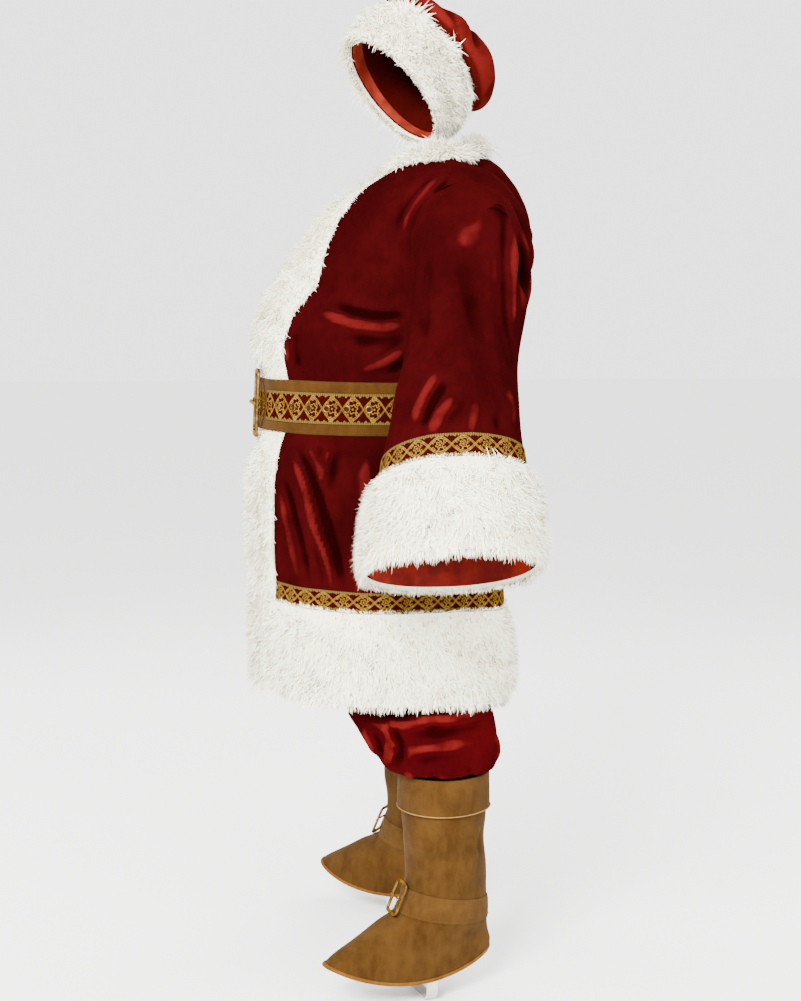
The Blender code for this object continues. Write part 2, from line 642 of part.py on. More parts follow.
def build_collar():
    """A fur roll that lies on the coat round the neckline."""
    outs = [row[1] for row in COLLAR_SECTION]
    rest = np.array([[coat_height(collar_spot(k, out)[0]) for k in range(COLLAR_SIDES)] for out in outs])
    spots = np.array([[collar_spot(k, out)[0][:2] for k in range(COLLAR_SIDES)] for out in outs])
    rest += COLLAR_CLEAR
    for _ in range(4):
        lift_clear(rest, spots)
    under, over = [], []
    for row, (_, out, lift) in enumerate(COLLAR_SECTION):
        spots = [collar_spot(k, out) for k in range(COLLAR_SIDES)]
        lying = np.array([[spot[0], spot[1], rest[row, k]] for k, (spot, _) in enumerate(spots)])
        tilt = unit(np.array([way * 0.5 + np.array([0, 0, 1.0]) for _, way in spots]))
        under.append(lying)
        over.append(lying + tilt * lift)
    add_wall("collar_fur", np.array(over)[::-1], np.array(under)[::-1], "fur", closed=True)


# Belt. It lies on the coat and on the flattened fur, and its braid and eyelets lie on the strap.
BELT_LEVELS = [BELT_BOTTOM, BELT_BRAID_FROM, BELT_BRAID_TO, BELT_TOP]
EYELET_PLACES = [4, 5, 6, 7]                      # grid columns from centre front, on both sides
EYELET_RADIUS, EYELET_HOLE, EYELET_HEIGHT = 0.0075, 0.004, 0.0016
BUCKLE_WIDTH, BUCKLE_HEIGHT, BUCKLE_BAR, BUCKLE_THICK = 0.098, 0.130, 0.010, 0.006
BUCKLE_CLEAR, PRONG_RADIUS = 0.0006, 0.0042
FREE_END_COLUMNS = 7      # how far the free end runs on past the buckle
LAP_COLUMNS = 2           # how far it lies over the strap on the buckle's other side


def strap_ring():
    """Points, directions and the strap's clearance all round the body, without a doubled column."""
    points, ways = body_ring([BODY_LEVELS.index(level) for level in BELT_LEVELS])
    columns = points.shape[1]
    under = np.zeros(columns)
    pile = FUR_DEPTH * BELT_PRESS * np.array(BAND_SECTION)
    under[:BAND_COLUMNS + 1] = pile
    under[-BAND_COLUMNS - 1:] = pile[::-1]
    return points[:, :-1], ways[:, :-1], (under + SEAM_GAP)[:-1][None, :, None]


def build_belt():
    points, ways, under = strap_ring()
    inner = points + under * ways
    outer = inner + BELT_THICK * ways
    add_wall("belt_strap", outer, inner, "suede", closed=True)
    braid_in = outer[1:3] + SEAM_GAP * ways[1:3]
    braid_out = braid_in + BRAID * ways[1:3]
    columns = points.shape[1]
    order = list(range(LAP_COLUMNS + 1, columns - FREE_END_COLUMNS + 1))
    add_wall("belt_braid", braid_out[:, order], braid_in[:, order], "braid")
    order = list(range(columns - FREE_END_COLUMNS + 1, columns)) + list(range(LAP_COLUMNS))
    lap_in = outer[:, order] + SEAM_GAP * ways[:, order]
    lap_out = lap_in + SUEDE * ways[:, order]
    for grid in (lap_in, lap_out):
        middle = (grid[0, 0] + grid[-1, 0]) / 2
        grid[[0, -1], 0] += 0.72 * (middle - grid[[0, -1], 0])
        grid[[1, 2], 0] += 0.80 * (middle - grid[[1, 2], 0])
    tip_way = unit(lap_in[1:3, 0].mean(0) - lap_in[1:3, 1].mean(0))
    lap_in[:, 0] += 0.020 * tip_way
    lap_out[:, 0] += 0.020 * tip_way
    add_wall("belt_free_end", lap_out, lap_in, "suede")
    build_eyelets(braid_out, ways[1:3])
    build_buckle(lap_out)


def build_eyelets(face, ways):
    """Brass eyelets on the braid's middle line."""
    columns = face.shape[1]
    for number, place in enumerate(EYELET_PLACES):
        middle = face[:, [place, place + 1]].mean(axis=(0, 1))
        spread = face[:, [place, place + 1]].reshape(4, 3) - middle
        way = np.linalg.svd(spread)[2][-1]
        way = way * np.sign(way @ ways[:, place].mean(0))
        for side, sign in SIDES.items():
            flip = np.array([sign, 1, 1])
            ring = ring_washer(f"belt_eyelet_{side}_{number + 1}", EYELET_RADIUS, EYELET_HOLE, EYELET_HEIGHT)
            if sign < 0 and place < FREE_END_COLUMNS:
                bpy.data.objects.remove(ring)
                continue
            turn = Vector(map(float, way * flip)).to_track_quat("Z", "Y")
            ring.rotation_mode = "QUATERNION"
            ring.rotation_quaternion = turn
            ring.location = tuple(map(float, (middle + way * 0.0007) * flip))


def ring_washer(name, radius, hole, height):
    """A turned ring, standing on its own base along Z: an eyelet or a washer."""
    sides = 12
    rows = [(radius, 0.0), (radius * 0.93, height), (hole * 1.2, height), (hole, 0.0)]
    turned = [[[r * math.cos(2 * math.pi * k / sides), r * math.sin(2 * math.pi * k / sides), z]
               for k in range(sides)] for r, z in rows]
    outer = np.array(turned[:2])
    inner = np.array([turned[3], turned[2]])
    return add_wall(name, outer, inner, "brass", closed=True)


def frame_of_bars(name, width, height, bar, thick, finish="brass"):
    """A flat rectangular frame in the XZ plane, with softened edges."""
    outline = [(-1, -1), (1, -1), (1, 1), (-1, 1)]

    def rectangle(w, h, y):
        return [[x * w / 2, y, z * h / 2] for x, z in outline]

    inner_w, inner_h = width - 2 * bar, height - 2 * bar
    outer = np.array([rectangle(width, height, thick / 2), rectangle(width, height, -thick / 2)])
    inner = np.array([rectangle(inner_w, inner_h, thick / 2), rectangle(inner_w, inner_h, -thick / 2)])
    frame = add_wall(name, outer, inner, finish, closed=True)
    bevel = frame.modifiers.new("softened edges", "BEVEL")
    bevel.width = min(bar, thick) * 0.22
    bevel.segments = 1
    return frame


def rod(name, length, radius, finish="brass", sides=8):
    """A straight bar along X from its root at the origin, thinner towards its tip."""
    bpy.ops.mesh.primitive_cone_add(vertices=sides, radius1=radius, radius2=radius * 0.6, depth=length)
    bar = bpy.context.object
    bar.name = bar.data.name = name
    bar.data.transform(Matrix.Translation((0, 0, length / 2)))
    bar.data.transform(Matrix.Rotation(math.radians(90), 4, "Y"))
    bar.data.shade_smooth()
    bar.data.set_sharp_from_angle(angle=math.radians(50))
    bar.data.materials.append(finish_of(finish))
    for group in bar.users_collection:
        group.objects.unlink(bar)
    suit.objects.link(bar)
    bar.parent = hanger
    return bar


def build_buckle(face):
    """A large frame lying on the strap at centre front, with its prong across it."""
    at_bar = np.array([[np.interp(BUCKLE_WIDTH / 2 - BUCKLE_BAR, row[:, 0], row[:, i]) for i in (1, 2)]
                       for row in face[[0, -1]]])
    (low_y, low_z), (top_y, top_z) = at_bar
    lean = math.atan2(top_y - low_y, top_z - low_z)
    height = (low_z + top_z) / 2
    frame_y = (low_y + top_y) / 2 - BUCKLE_THICK / 2 - BUCKLE_CLEAR
    frame = frame_of_bars("belt_buckle_frame", BUCKLE_WIDTH, BUCKLE_HEIGHT, BUCKLE_BAR, BUCKLE_THICK)
    frame.location = (0, frame_y, height)
    frame.rotation_euler.x = -lean
    middle_y = min(np.interp(0, row[:, 0], row[:, 1]) for row in face[[1, 2]])
    prong = rod("belt_buckle_prong", BUCKLE_WIDTH - 0.002, PRONG_RADIUS)
    prong_y = min(frame_y - BUCKLE_THICK / 2, middle_y) - SEAM_GAP - PRONG_RADIUS
    prong.location = (-BUCKLE_WIDTH / 2 + 0.002, prong_y, height)


# Trousers. One panel a leg: below the crotch its edges meet at the inseam, above it they part to centre
# front and centre back. Rows run from the end tucked into the boot cover up to the waist: height, x of
# the middle, half width, y of the front and back, and how far the tube has opened into half a hip.
LEG_RINGS = [
    ("tucked end", 0.385, 0.212, 0.062, -0.100, 0.029, 0.0),
    ("inside the boot", 0.432, 0.212, 0.062, -0.100, 0.029, 0.0),
    ("under the blouse", 0.444, 0.210, 0.080, -0.122, 0.046, 0.0),
    ("blouse edge", 0.431, 0.207, 0.094, -0.139, 0.056, 0.0),
    ("blouse", 0.452, 0.197, 0.106, -0.160, 0.066, 0.0),
    ("blouse top", 0.490, 0.181, 0.114, -0.184, 0.068, 0.0),
    ("below the hem", 0.540, 0.160, 0.117, -0.208, 0.062, 0.0),
    ("knee", 0.610, 0.144, 0.116, -0.212, 0.058, 0.0),
    ("thigh", 0.720, 0.126, 0.118, -0.208, 0.062, 0.0),
    ("crotch", 0.800, 0.116, 0.1158, -0.210, 0.070, 0.0),
    ("above the crotch", 0.835, 0.112, 0.116, -0.215, 0.074, 0.55),
    ("seat", 0.900, 0.106, 0.114, -0.225, 0.078, 0.90),
    ("hip", 0.970, 0.102, 0.110, -0.225, 0.078, 1.0),
    ("waist", 1.040, 0.098, 0.106, -0.215, 0.076, 1.0),
]
LEG_SIDES = 16
HIP_SPREAD = 0.208        # half width of both halves together at the seat
RIGHT_LEG_BACK = 0.022    # the right leg stands this much further back than the left
LEG_FOLDS = [             # round the leg (0 inseam, 90 front, 180 outside), height, how far it stands out
    ("front roll", 100, 30, 0.500, 0.016, 0.008),
    ("outside roll", 190, 40, 0.474, 0.015, 0.008),
    ("back roll", 285, 30, 0.503, 0.016, 0.006),
]
WAISTBAND = 0.040
TOE_OUT = {"left": 14, "right": 34}               # degrees that each foot turns outward
ANKLE_X, ANKLE_Y = 0.212, -0.035


def leg_grid():
    """The left trouser leg's outer points, with open side edges."""
    rows = []
    for _, z, x_mid, half_width, y_front, y_back, opened in LEG_RINGS:
        y_mid, half_depth = (y_front + y_back) / 2, (y_back - y_front) / 2
        row = []
        for k in range(LEG_SIDES + 1):
            angle = 2 * math.pi * k / LEG_SIDES
            around = math.degrees(angle)
            out = sum(high * math.exp(-((around - a) / w) ** 2 - ((z - zf) / zw) ** 2)
                      for _, a, w, zf, zw, high in LEG_FOLDS)
            tube = np.array([x_mid - (half_width + out) * math.cos(angle),
                             y_mid - (half_depth + out) * math.sin(angle), z])
            half = angle / 2
            hip = np.array([HIP_SPREAD * math.sin(half), y_mid - half_depth * math.cos(half), z])
            point = tube + opened * (hip - tube)
            point[0] = max(point[0], SEAM_GAP / 2)
            row.append(point)
        rows.append(row)
    return np.array(rows)


def shifted_leg(grid, back):
    """The grid with its lower part moved back, fading out under the coat's hem."""
    share = smooth((0.562 - grid[..., 2]) / 0.12)
    return grid + back * share[..., None] * np.array([0, 1, 0])


def build_trousers():
    grid = leg_grid()
    out = normals_of(grid, False)
    joined = sum(opened == 0 for *_, opened in LEG_RINGS)
    seam = unit(out[:joined, 0] + out[:joined, -1])
    out[:joined, 0], out[:joined, -1] = seam, seam
    out[joined:, [0, -1]] = unit(out[joined:, [0, -1]] * np.array([0.15, 1, 1]))
    grid = pull_in(grid)
    inner = grid - VELVET * out
    inner[..., 0] = np.maximum(inner[..., 0], SEAM_GAP / 2)
    add_wall("trousers_left", grid, inner, "velvet")
    right, right_inner = (shifted_leg(g, RIGHT_LEG_BACK) for g in (grid, inner))
    add_wall("trousers_right", mirrored(right), mirrored(right_inner), "velvet")
    whole = np.concatenate([grid[-1:, :], mirrored(grid[-1:])[:, 1:]], axis=1)
    ways = np.concatenate([out[-1:], mirrored(out[-1:])[:, 1:]], axis=1)
    ways = unit(ways * np.array([1, 1, 0]))
    base = np.concatenate([whole + np.array([0, 0, z]) for z in (SEAM_GAP, WAISTBAND)])[:, :-1]
    ways = np.concatenate([ways, ways])[:, :-1]
    add_wall("trousers_waistband", base, base - 2 * VELVET * ways, "velvet", closed=True)


# Boot covers. Rows are loops from the bottom binding up to the cuff: y and z of the front point, y and z
# of the back point, half width, and how much lower the sides lie. The feet turn out about the ankle.
BOOT_RINGS = [
    ("bottom edge", -0.276, 0.080, 0.058, 0.072, 0.056, 0.036),
    ("over the toe", -0.262, 0.091, 0.060, 0.086, 0.056, 0.026),
    ("vamp", -0.218, 0.116, 0.057, 0.104, 0.055, 0.018),
    ("instep", -0.170, 0.145, 0.053, 0.122, 0.056, 0.012),
    ("strap bottom", -0.130, 0.165, 0.051, 0.137, 0.060, 0.004),
    ("strap top", -0.111, 0.208, 0.049, 0.180, 0.066, 0.0),
    ("shaft low", -0.108, 0.255, 0.046, 0.240, 0.070, 0.0),
    ("shaft middle", -0.112, 0.300, 0.043, 0.295, 0.074, 0.0),
    ("cuff bottom", -0.115, 0.358, 0.046, 0.358, 0.078, 0.0),
    ("top", -0.117, 0.424, 0.048, 0.424, 0.080, 0.0),
]
BOOT_SIDES = 18
STRAP_ROWS, CUFF_ROWS = slice(4, 6), slice(8, 10)
BINDING_WIDTH, BINDING_THICK = 0.007, 0.0016
CUFF_FLARE, CUFF_FOLD, STRAP_THICK = 0.007, 0.003, 0.003
SHOE_RISE = 0.004         # the under-foot elastic clears the ground by this much


def boot_grid(toe_out):
    """A left boot cover's outer points; the first column is at the heel, and it turns with the foot."""
    rows = []
    for _, y_toe, z_toe, y_heel, z_heel, half_width, drop in BOOT_RINGS:
        row = []
        for k in range(BOOT_SIDES):
            angle = 2 * math.pi * k / BOOT_SIDES
            forward, across = -math.cos(angle), -math.sin(angle)
            share = (1 + forward) / 2
            long = min(1.0, (y_heel - y_toe) / 0.30)
            width = half_width * (1 + 0.16 * forward * long)
            y = y_heel + (y_toe - y_heel) * share
            z = z_heel + (z_toe - z_heel) * share - drop * across * across
            row.append([width * across, y, z])
        rows.append(row)
    grid = np.array(rows)
    turn = math.radians(toe_out)
    x, y = grid[..., 0], grid[..., 1] - ANKLE_Y
    return np.stack([ANKLE_X + x * math.cos(turn) - y * math.sin(turn),
                     ANKLE_Y + x * math.sin(turn) + y * math.cos(turn), grid[..., 2]], axis=-1)


def placed(grid, side):
    """A left boot cover's grid, or its mirror image moved back with the right leg."""
    return grid if side == "left" else mirrored(grid) + np.array([0, RIGHT_LEG_BACK, 0])


def build_boot(side):
    grid = boot_grid(TOE_OUT[side])
    out = normals_of(grid, True)

    def tube(name, outer, inner, finish):
        add_wall(f"{name}_{side}", placed(outer, side), placed(inner, side), finish, closed=True)

    tube("boot_upper", grid, grid - SUEDE * out, "suede")
    cuff = grid[CUFF_ROWS] + SEAM_GAP * out[CUFF_ROWS]
    flare = np.array([CUFF_FLARE, CUFF_FOLD])[:, None, None]
    tube("boot_cuff", cuff + flare * out[CUFF_ROWS], cuff, "suede")
    strap = grid[STRAP_ROWS] + SEAM_GAP * out[STRAP_ROWS]
    strap_face = strap + STRAP_THICK * out[STRAP_ROWS]
    tube("boot_strap", strap_face, strap, "suede")
    edge = grid[[0, 0]].copy()
    edge[1] += BINDING_WIDTH * unit(grid[1] - grid[0])
    edge = edge + 2 * SEAM_GAP * out[[0, 0]]
    tube("boot_binding", edge + BINDING_THICK * out[[0, 0]], edge, "suede")
    build_elastic(side, grid)
    build_boot_buckle(side, strap_face)


def build_elastic(side, grid):
    """A U-shaped band from one side of the cover's edge to the other, passing under the foot."""
    low = grid[0]
    across = [BOOT_SIDES // 4, BOOT_SIDES - BOOT_SIDES // 4]
    ends = [low[across[0]], low[across[1]]]
    middle = (ends[0] + ends[1]) / 2
    forward = unit(low[BOOT_SIDES // 2] - low[0]) * np.array([1, 1, 0])
    reach = unit((ends[1] - ends[0]) * np.array([1, 1, 0]))
    half = np.linalg.norm((ends[1] - ends[0])[:2]) / 2 - SEAM_GAP
    top = min(ends[0][2], ends[1][2]) - SEAM_GAP
    profile = [(-half, top), (-half, 0.016), (-half + 0.010, SHOE_RISE), (half - 0.010, SHOE_RISE),
               (half, 0.016), (half, top)]
    rows = []
    for offset in (0.0, 0.0015):
        grid_row = []
        for width in (0.011, -0.011):
            grid_row.append([middle * np.array([1, 1, 0]) + forward * width
                             + reach * (u - math.copysign(offset, u)) + np.array([0, 0, z + offset * (z < 0.01)])
                             for u, z in profile])
        rows.append(np.array(grid_row))
    inner, outer = rows
    add_wall(f"boot_elastic_{side}", placed(outer, side), placed(inner, side), "elastic")


def build_boot_buckle(side, face):
    """A brass frame standing on the front of the ankle strap."""
    face = placed(face, side)
    toe = BOOT_SIDES // 2 if side == "left" else BOOT_SIDES - 1 - BOOT_SIDES // 2
    spot = face[:, toe].mean(axis=0)
    up = face[1, toe] - face[0, toe]
    sideways = face[0, (toe + 1) % BOOT_SIDES] - face[0, toe - 1]
    out = unit(np.cross(sideways, up))
    buckle = frame_of_bars(f"boot_buckle_{side}", 0.046, 0.066, 0.006, 0.0045)
    axes = np.array([unit(sideways), -out, np.cross(unit(sideways), -out)]).T
    buckle.rotation_mode = "QUATERNION"
    buckle.rotation_quaternion = Matrix(axes.tolist()).to_quaternion()
    buckle.location = tuple(map(float, spot + out * 0.0068))


# Hat. The head turns to the wearer's left, and the brim is high over the forehead and low at the nape.
HAT_CENTRE = np.array([0.022, -0.102, 1.693])
HAT_TURN, HAT_TILT = math.radians(28), math.radians(47)
BRIM_DEPTH, BRIM_SECTION = 0.026, [0.40, 1.0, 1.0, 0.45]     # how far the pile stands out, up the brim
TIP_CLOSED = 0.16         # the tail's last ring, as a share of the one before
HAT_SIDES = 20
FORWARD = np.array([math.sin(HAT_TURN), -math.cos(HAT_TURN), 0.0])
LEFTWARD = np.array([math.cos(HAT_TURN), math.sin(HAT_TURN), 0.0])
BRIM_LONG = FORWARD * math.cos(HAT_TILT) + np.array([0, 0, math.sin(HAT_TILT)])
CROWN_UP = -FORWARD * math.sin(HAT_TILT) + np.array([0, 0, math.cos(HAT_TILT)])
# The crown's rings: distance up from the brim plane, slump towards the nape, shift to the wearer's right,
# turn of the ring's plane towards that side, half length and half width.
CROWN_RINGS = [
    ("edge", 0.004, 0.000, 0.000, 0, 0.119, 0.088),
    ("brim top", 0.098, 0.000, 0.000, 0, 0.120, 0.090),
    ("side", 0.126, 0.010, 0.000, 2, 0.139, 0.105),
    ("shoulder", 0.149, 0.032, 0.008, 8, 0.130, 0.098),
    ("top", 0.163, 0.056, 0.030, 22, 0.112, 0.082),
    ("bend", 0.167, 0.068, 0.060, 50, 0.092, 0.064),
    ("fold", 0.159, 0.070, 0.092, 80, 0.078, 0.050),
    ("tail", 0.141, 0.068, 0.120, 100, 0.064, 0.040),
    ("tail low", 0.115, 0.064, 0.146, 112, 0.048, 0.032),
    ("tail end", 0.084, 0.060, 0.166, 120, 0.030, 0.022),
]
HAT_FOLDS = [("front crease", 60, 22, -0.007), ("back crease", 300, 24, -0.008), ("top ridge", 20, 25, 0.005)]


def hat_ring(up, slump, right, turn, half_length, half_width, creased=0.0):
    turned = math.radians(turn)
    side = LEFTWARD * math.cos(turned) + CROWN_UP * math.sin(turned)
    middle = HAT_CENTRE + CROWN_UP * up - BRIM_LONG * slump - LEFTWARD * right
    points = []
    for k in range(HAT_SIDES):
        angle = 2 * math.pi * (-k % HAT_SIDES) / HAT_SIDES
        around = math.degrees(angle)
        grow = sum(h * math.exp(-((around - a) / w) ** 2) for _, a, w, h in HAT_FOLDS) * creased
        points.append(middle + BRIM_LONG * (half_length + grow) * math.sin(angle)
                      + side * (half_width + grow) * math.cos(angle))
    return points


def build_hat():
    rings = [hat_ring(*row[1:], creased=smooth((i - 1) / 2)) for i, row in enumerate(CROWN_RINGS)]
    grid = np.array(rings)
    out = normals_of(grid, True)
    tip_in = grid[-1].mean(0) + unit(grid[-1].mean(0) - grid[-2].mean(0)) * 0.010
    closed_tip = tip_in + (grid[-1] - tip_in) * TIP_CLOSED
    shell = np.concatenate([grid, closed_tip[None]])
    inner = grid - VELVET * out
    inner_tip = inner[-1].mean(0) + (inner[-1] - inner[-1].mean(0)) * TIP_CLOSED
    inner = np.concatenate([inner, inner_tip[None]])
    add_wall("hat_crown", shell, inner, "velvet", closed=True)
    brim = grid[[0, 0, 1, 1]].copy()
    ways = out[[0, 0, 1, 1]]
    height = BRIM_DEPTH * np.array(BRIM_SECTION)[:, None, None]
    rise = unit(grid[1] - grid[0])
    brim[0] -= 0.008 * rise
    brim[1] += 0.006 * rise
    brim[2] -= 0.012 * rise
    add_wall("hat_brim_fur", brim + height * ways, brim + SEAM_GAP * ways, "fur", closed=True)
    share = np.array([0.02, 0.45])[:, None, None]
    lining = grid[0] + share * (grid[1] - grid[0]) - (VELVET + SEAM_GAP) * out[[0, 0]]
    add_wall("hat_lining", lining, lining - SATIN * out[[0, 0]], "satin", closed=True)


build_coat_body()
build_sleeves()
build_cuffs()
build_hem()
build_front_bands()
build_collar()
build_belt()
build_trousers()
for boot_side in SIDES:
    build_boot(boot_side)
build_hat()
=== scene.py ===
# %% [markdown]
# # A fur-trimmed velvet suit, worn
# A santa suit is a set: a belted coat, trousers, a soft hat and a pair of suede covers that turn
# plain shoes into boots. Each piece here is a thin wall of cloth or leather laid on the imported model's
# own form, and the fur is grown on it tuft by tuft. All heights are measured from the ground.

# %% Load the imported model
import math
import bpy
import numpy as np
from mathutils import Matrix, Vector
from mathutils.bvhtree import BVHTree


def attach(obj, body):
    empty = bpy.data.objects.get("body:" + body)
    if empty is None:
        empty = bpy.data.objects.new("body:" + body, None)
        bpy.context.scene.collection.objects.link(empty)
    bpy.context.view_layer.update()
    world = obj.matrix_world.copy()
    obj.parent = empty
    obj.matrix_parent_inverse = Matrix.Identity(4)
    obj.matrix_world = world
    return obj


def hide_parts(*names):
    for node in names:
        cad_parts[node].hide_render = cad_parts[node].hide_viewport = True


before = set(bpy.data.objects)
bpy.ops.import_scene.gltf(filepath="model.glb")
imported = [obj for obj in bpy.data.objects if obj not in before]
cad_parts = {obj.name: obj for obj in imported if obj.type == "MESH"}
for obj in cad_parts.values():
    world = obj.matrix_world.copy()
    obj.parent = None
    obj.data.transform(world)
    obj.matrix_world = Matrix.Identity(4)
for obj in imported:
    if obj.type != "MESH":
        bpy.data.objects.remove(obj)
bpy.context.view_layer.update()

NECK_HEIGHT = 1.548       # the row frame's origin, the middle of the neckline, above the ground

# %% [markdown]
# ## Small tools
# Every form below is a grid of points: rows run up the garment and columns run round it. A table of
# named rings is read on a smooth curve, so a few listed sizes give a surface as fine as we like.
# Working from tables, instead of sculpting, keeps the cloth exactly where the solid model has it.

# %% Reading tables and grids
def smooth(x):
    x = np.clip(x, 0, 1)
    return x * x * (3 - 2 * x)


def unit(v):
    return v / np.maximum(np.linalg.norm(v, axis=-1, keepdims=True), 1e-12)


def on_curve(xs, ys, at):
    """Values on a smooth curve through (xs, ys); ys may hold points."""
    xs, ys, at = np.asarray(xs, float), np.asarray(ys, float), np.asarray(at, float)
    slopes = np.gradient(ys, xs, axis=0)
    at = np.clip(at, xs[0], xs[-1])
    k = np.clip(np.searchsorted(xs, at, side="right") - 1, 0, len(xs) - 2)
    span = (xs[k + 1] - xs[k])
    t = (at - xs[k]) / span
    if ys.ndim > 1:
        span, t = span[..., None], t[..., None]
    start = (1 + 2 * t) * (1 - t) ** 2 * ys[k] + t * (1 - t) ** 2 * span * slopes[k]
    return start + t * t * (3 - 2 * t) * ys[k + 1] + t * t * (t - 1) * span * slopes[k + 1]


def table_column(table, column, at, key=0):
    """One column of a table of named rows, read at values of its key column."""
    rows = np.array([row[1:] for row in table], float)
    return on_curve(rows[:, key], rows[:, column], at)


def curve_through(points, count):
    points = np.array(points, float)
    steps = np.concatenate([[0], np.cumsum(np.linalg.norm(np.diff(points, axis=0), axis=1))])
    return on_curve(steps, points, np.linspace(0, steps[-1], count))


def spread(stops, each):
    """The stops with `each` even steps between neighbours, so that every stop stays in the list."""
    parts = [np.linspace(a, b, each, endpoint=False) for a, b in zip(stops[:-1], stops[1:])]
    return np.concatenate(parts + [[stops[-1]]])


def normals_of(grid, closed=False):
    """Outward directions of a grid: rows go up, columns run anticlockwise from above."""
    across = np.roll(grid, -1, 1) - np.roll(grid, 1, 1) if closed else np.gradient(grid, axis=1)
    return unit(np.cross(across, np.gradient(grid, axis=0)))


def mirrored(grid):
    return (grid * np.array([-1, 1, 1]))[:, ::-1]


def grid_area(grid):
    a = np.linalg.norm(np.cross(grid[1:, :-1] - grid[:-1, :-1], grid[:-1, 1:] - grid[:-1, :-1]), axis=-1)
    return float(a.sum())


print("a smooth step at one half gives", float(smooth(0.5)))

# %% [markdown]
# ## From grids to objects
# A wall of cloth has an outer face, an inner face and thin rims. Making all of them as one closed mesh
# gives the cut edges at cuffs and necklines real thickness. Each piece also gets a UV map in metres,
# along and across the grid, so that weaves, stitches and braid patterns come out at their true scale.

# %% Meshes, pieces and walls
MADE = {}


def new_mesh(name, points, faces, uv=None):
    """A mesh from arrays; faces is one array of triangles or quads, or a list of such arrays."""
    faces = [faces] if isinstance(faces, np.ndarray) else faces
    faces = [f for f in faces if len(f)]
    mesh = bpy.data.meshes.new(name)
    points = np.asarray(points, np.float32).reshape(-1, 3) - np.array([0, 0, NECK_HEIGHT], np.float32)
    mesh.vertices.add(len(points))
    mesh.vertices.foreach_set("co", points.ravel())
    loops = np.concatenate([f.ravel() for f in faces]).astype(np.int32)
    sizes = np.concatenate([np.full(len(f), f.shape[1]) for f in faces])
    mesh.loops.add(len(loops))
    mesh.loops.foreach_set("vertex_index", loops)
    mesh.polygons.add(len(sizes))
    mesh.polygons.foreach_set("loop_start", np.concatenate([[0], np.cumsum(sizes)[:-1]]).astype(np.int32))
    mesh.update(calc_edges=True)
    if uv is not None:
        layer = mesh.uv_layers.new(name="metres")
        layer.data.foreach_set("uv", np.asarray(uv, np.float32).reshape(-1, 2)[loops].ravel())
    mesh.shade_smooth()
    return mesh


def add_piece(name, mesh, finish, replaces=()):
    """Puts a mesh in the scene as a piece that rides on the suit and stands for its solids."""
    piece = bpy.data.objects.new(name + "_piece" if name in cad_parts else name, mesh)
    bpy.context.scene.collection.objects.link(piece)
    mesh.materials.append(finish)
    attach(piece, "root")
    if replaces:
        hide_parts(*replaces)
    MADE[name] = piece
    return piece


def metres(grid, closed=False):
    """UV in metres: along each row from its first column, and up each column from the first row."""
    across = np.linalg.norm(np.diff(grid, axis=1), axis=-1).mean(0)
    up = np.linalg.norm(np.diff(grid, axis=0), axis=-1).mean(1)
    u, v = np.concatenate([[0], np.cumsum(across)]), np.concatenate([[0], np.cumsum(up)])
    return np.stack(np.meshgrid(u, v), axis=-1)


def wall_faces(rows, columns, closed):
    """Quads of a wall: the outer grid's points come first, then the inner grid's."""
    inner, last = rows * columns, columns if closed else columns - 1
    r, c = np.meshgrid(np.arange(rows - 1), np.arange(last), indexing="ij")
    a, b = (r * columns + c).ravel(), (r * columns + (c + 1) % columns).ravel()
    outer = np.stack([a, b, b + columns, a + columns], 1)
    c = np.arange(last)
    low, low_next, up = c, (c + 1) % columns, (rows - 1) * columns
    rims = [np.stack([low, inner + low, inner + low_next, low_next], 1),
            np.stack([low + up, low_next + up, inner + low_next + up, inner + low + up], 1)]
    if not closed:
        r = np.arange(rows - 1) * columns
        end = r + columns - 1
        rims += [np.stack([r, r + columns, inner + r + columns, inner + r], 1),
                 np.stack([end, inner + end, inner + end + columns, end + columns], 1)]
    return np.concatenate([outer, inner + outer[:, ::-1], *rims])


def blurred(grid, closed, times):
    """Each point moved to the mean of its neighbours, a few times over."""
    for _ in range(times):
        wide = np.pad(grid, ((1, 1), (1, 1), (0, 0)), "edge")
        if closed:
            wide[1:-1, 0], wide[1:-1, -1] = grid[:, -1], grid[:, 0]
        grid = (wide[:-2, 1:-1] + wide[2:, 1:-1] + wide[1:-1, :-2] + wide[1:-1, 2:] + grid) / 5
    return grid


def folds(grid, closed, reach=0.012, full=0.0019):
    """How far each point stands above the cloth about it: up to 1 on ridges, down to -1 in valleys."""
    step = np.linalg.norm(np.diff(grid, axis=1), axis=-1).mean()
    soft = blurred(grid, closed, int(np.clip((reach / step) ** 2 * 1.3, 2, 14)))
    above = ((grid - soft) * normals_of(grid, closed)).sum(-1, keepdims=True) / full - 0.12
    return np.clip(blurred(above, closed, 1)[..., 0], -1, 1)


def add_wall(name, outer, inner, finish, replaces=None, closed=False, uv=None):
    """A closed wall between two grids; a closed ring repeats its first column, so UVs don't jump."""
    fold = folds(outer, closed)
    if closed:
        outer, inner, fold = (np.concatenate([g, g[:, :1]], axis=1) for g in (outer, inner, fold))
    rows, columns = outer.shape[:2]
    uv = metres(outer) if uv is None else uv
    faces = wall_faces(rows, columns, False)
    points = np.concatenate([outer.reshape(-1, 3), inner.reshape(-1, 3)])
    mesh = new_mesh(name, points, faces, np.concatenate([uv.reshape(-1, 2)] * 2))
    # The fold heights stored here drive the velvets' painted highlights on ridges and painted shade in valleys.
    mesh.attributes.new("fold", "FLOAT", "POINT").data.foreach_set(
        "value", np.concatenate([fold.ravel(), np.zeros(rows * columns)]).astype(np.float32))
    if closed:
        weld_ends(mesh, rows, columns)
    mesh.set_sharp_from_angle(angle=math.radians(50))
    return add_piece(name, mesh, finish, [name] if replaces is None else replaces)


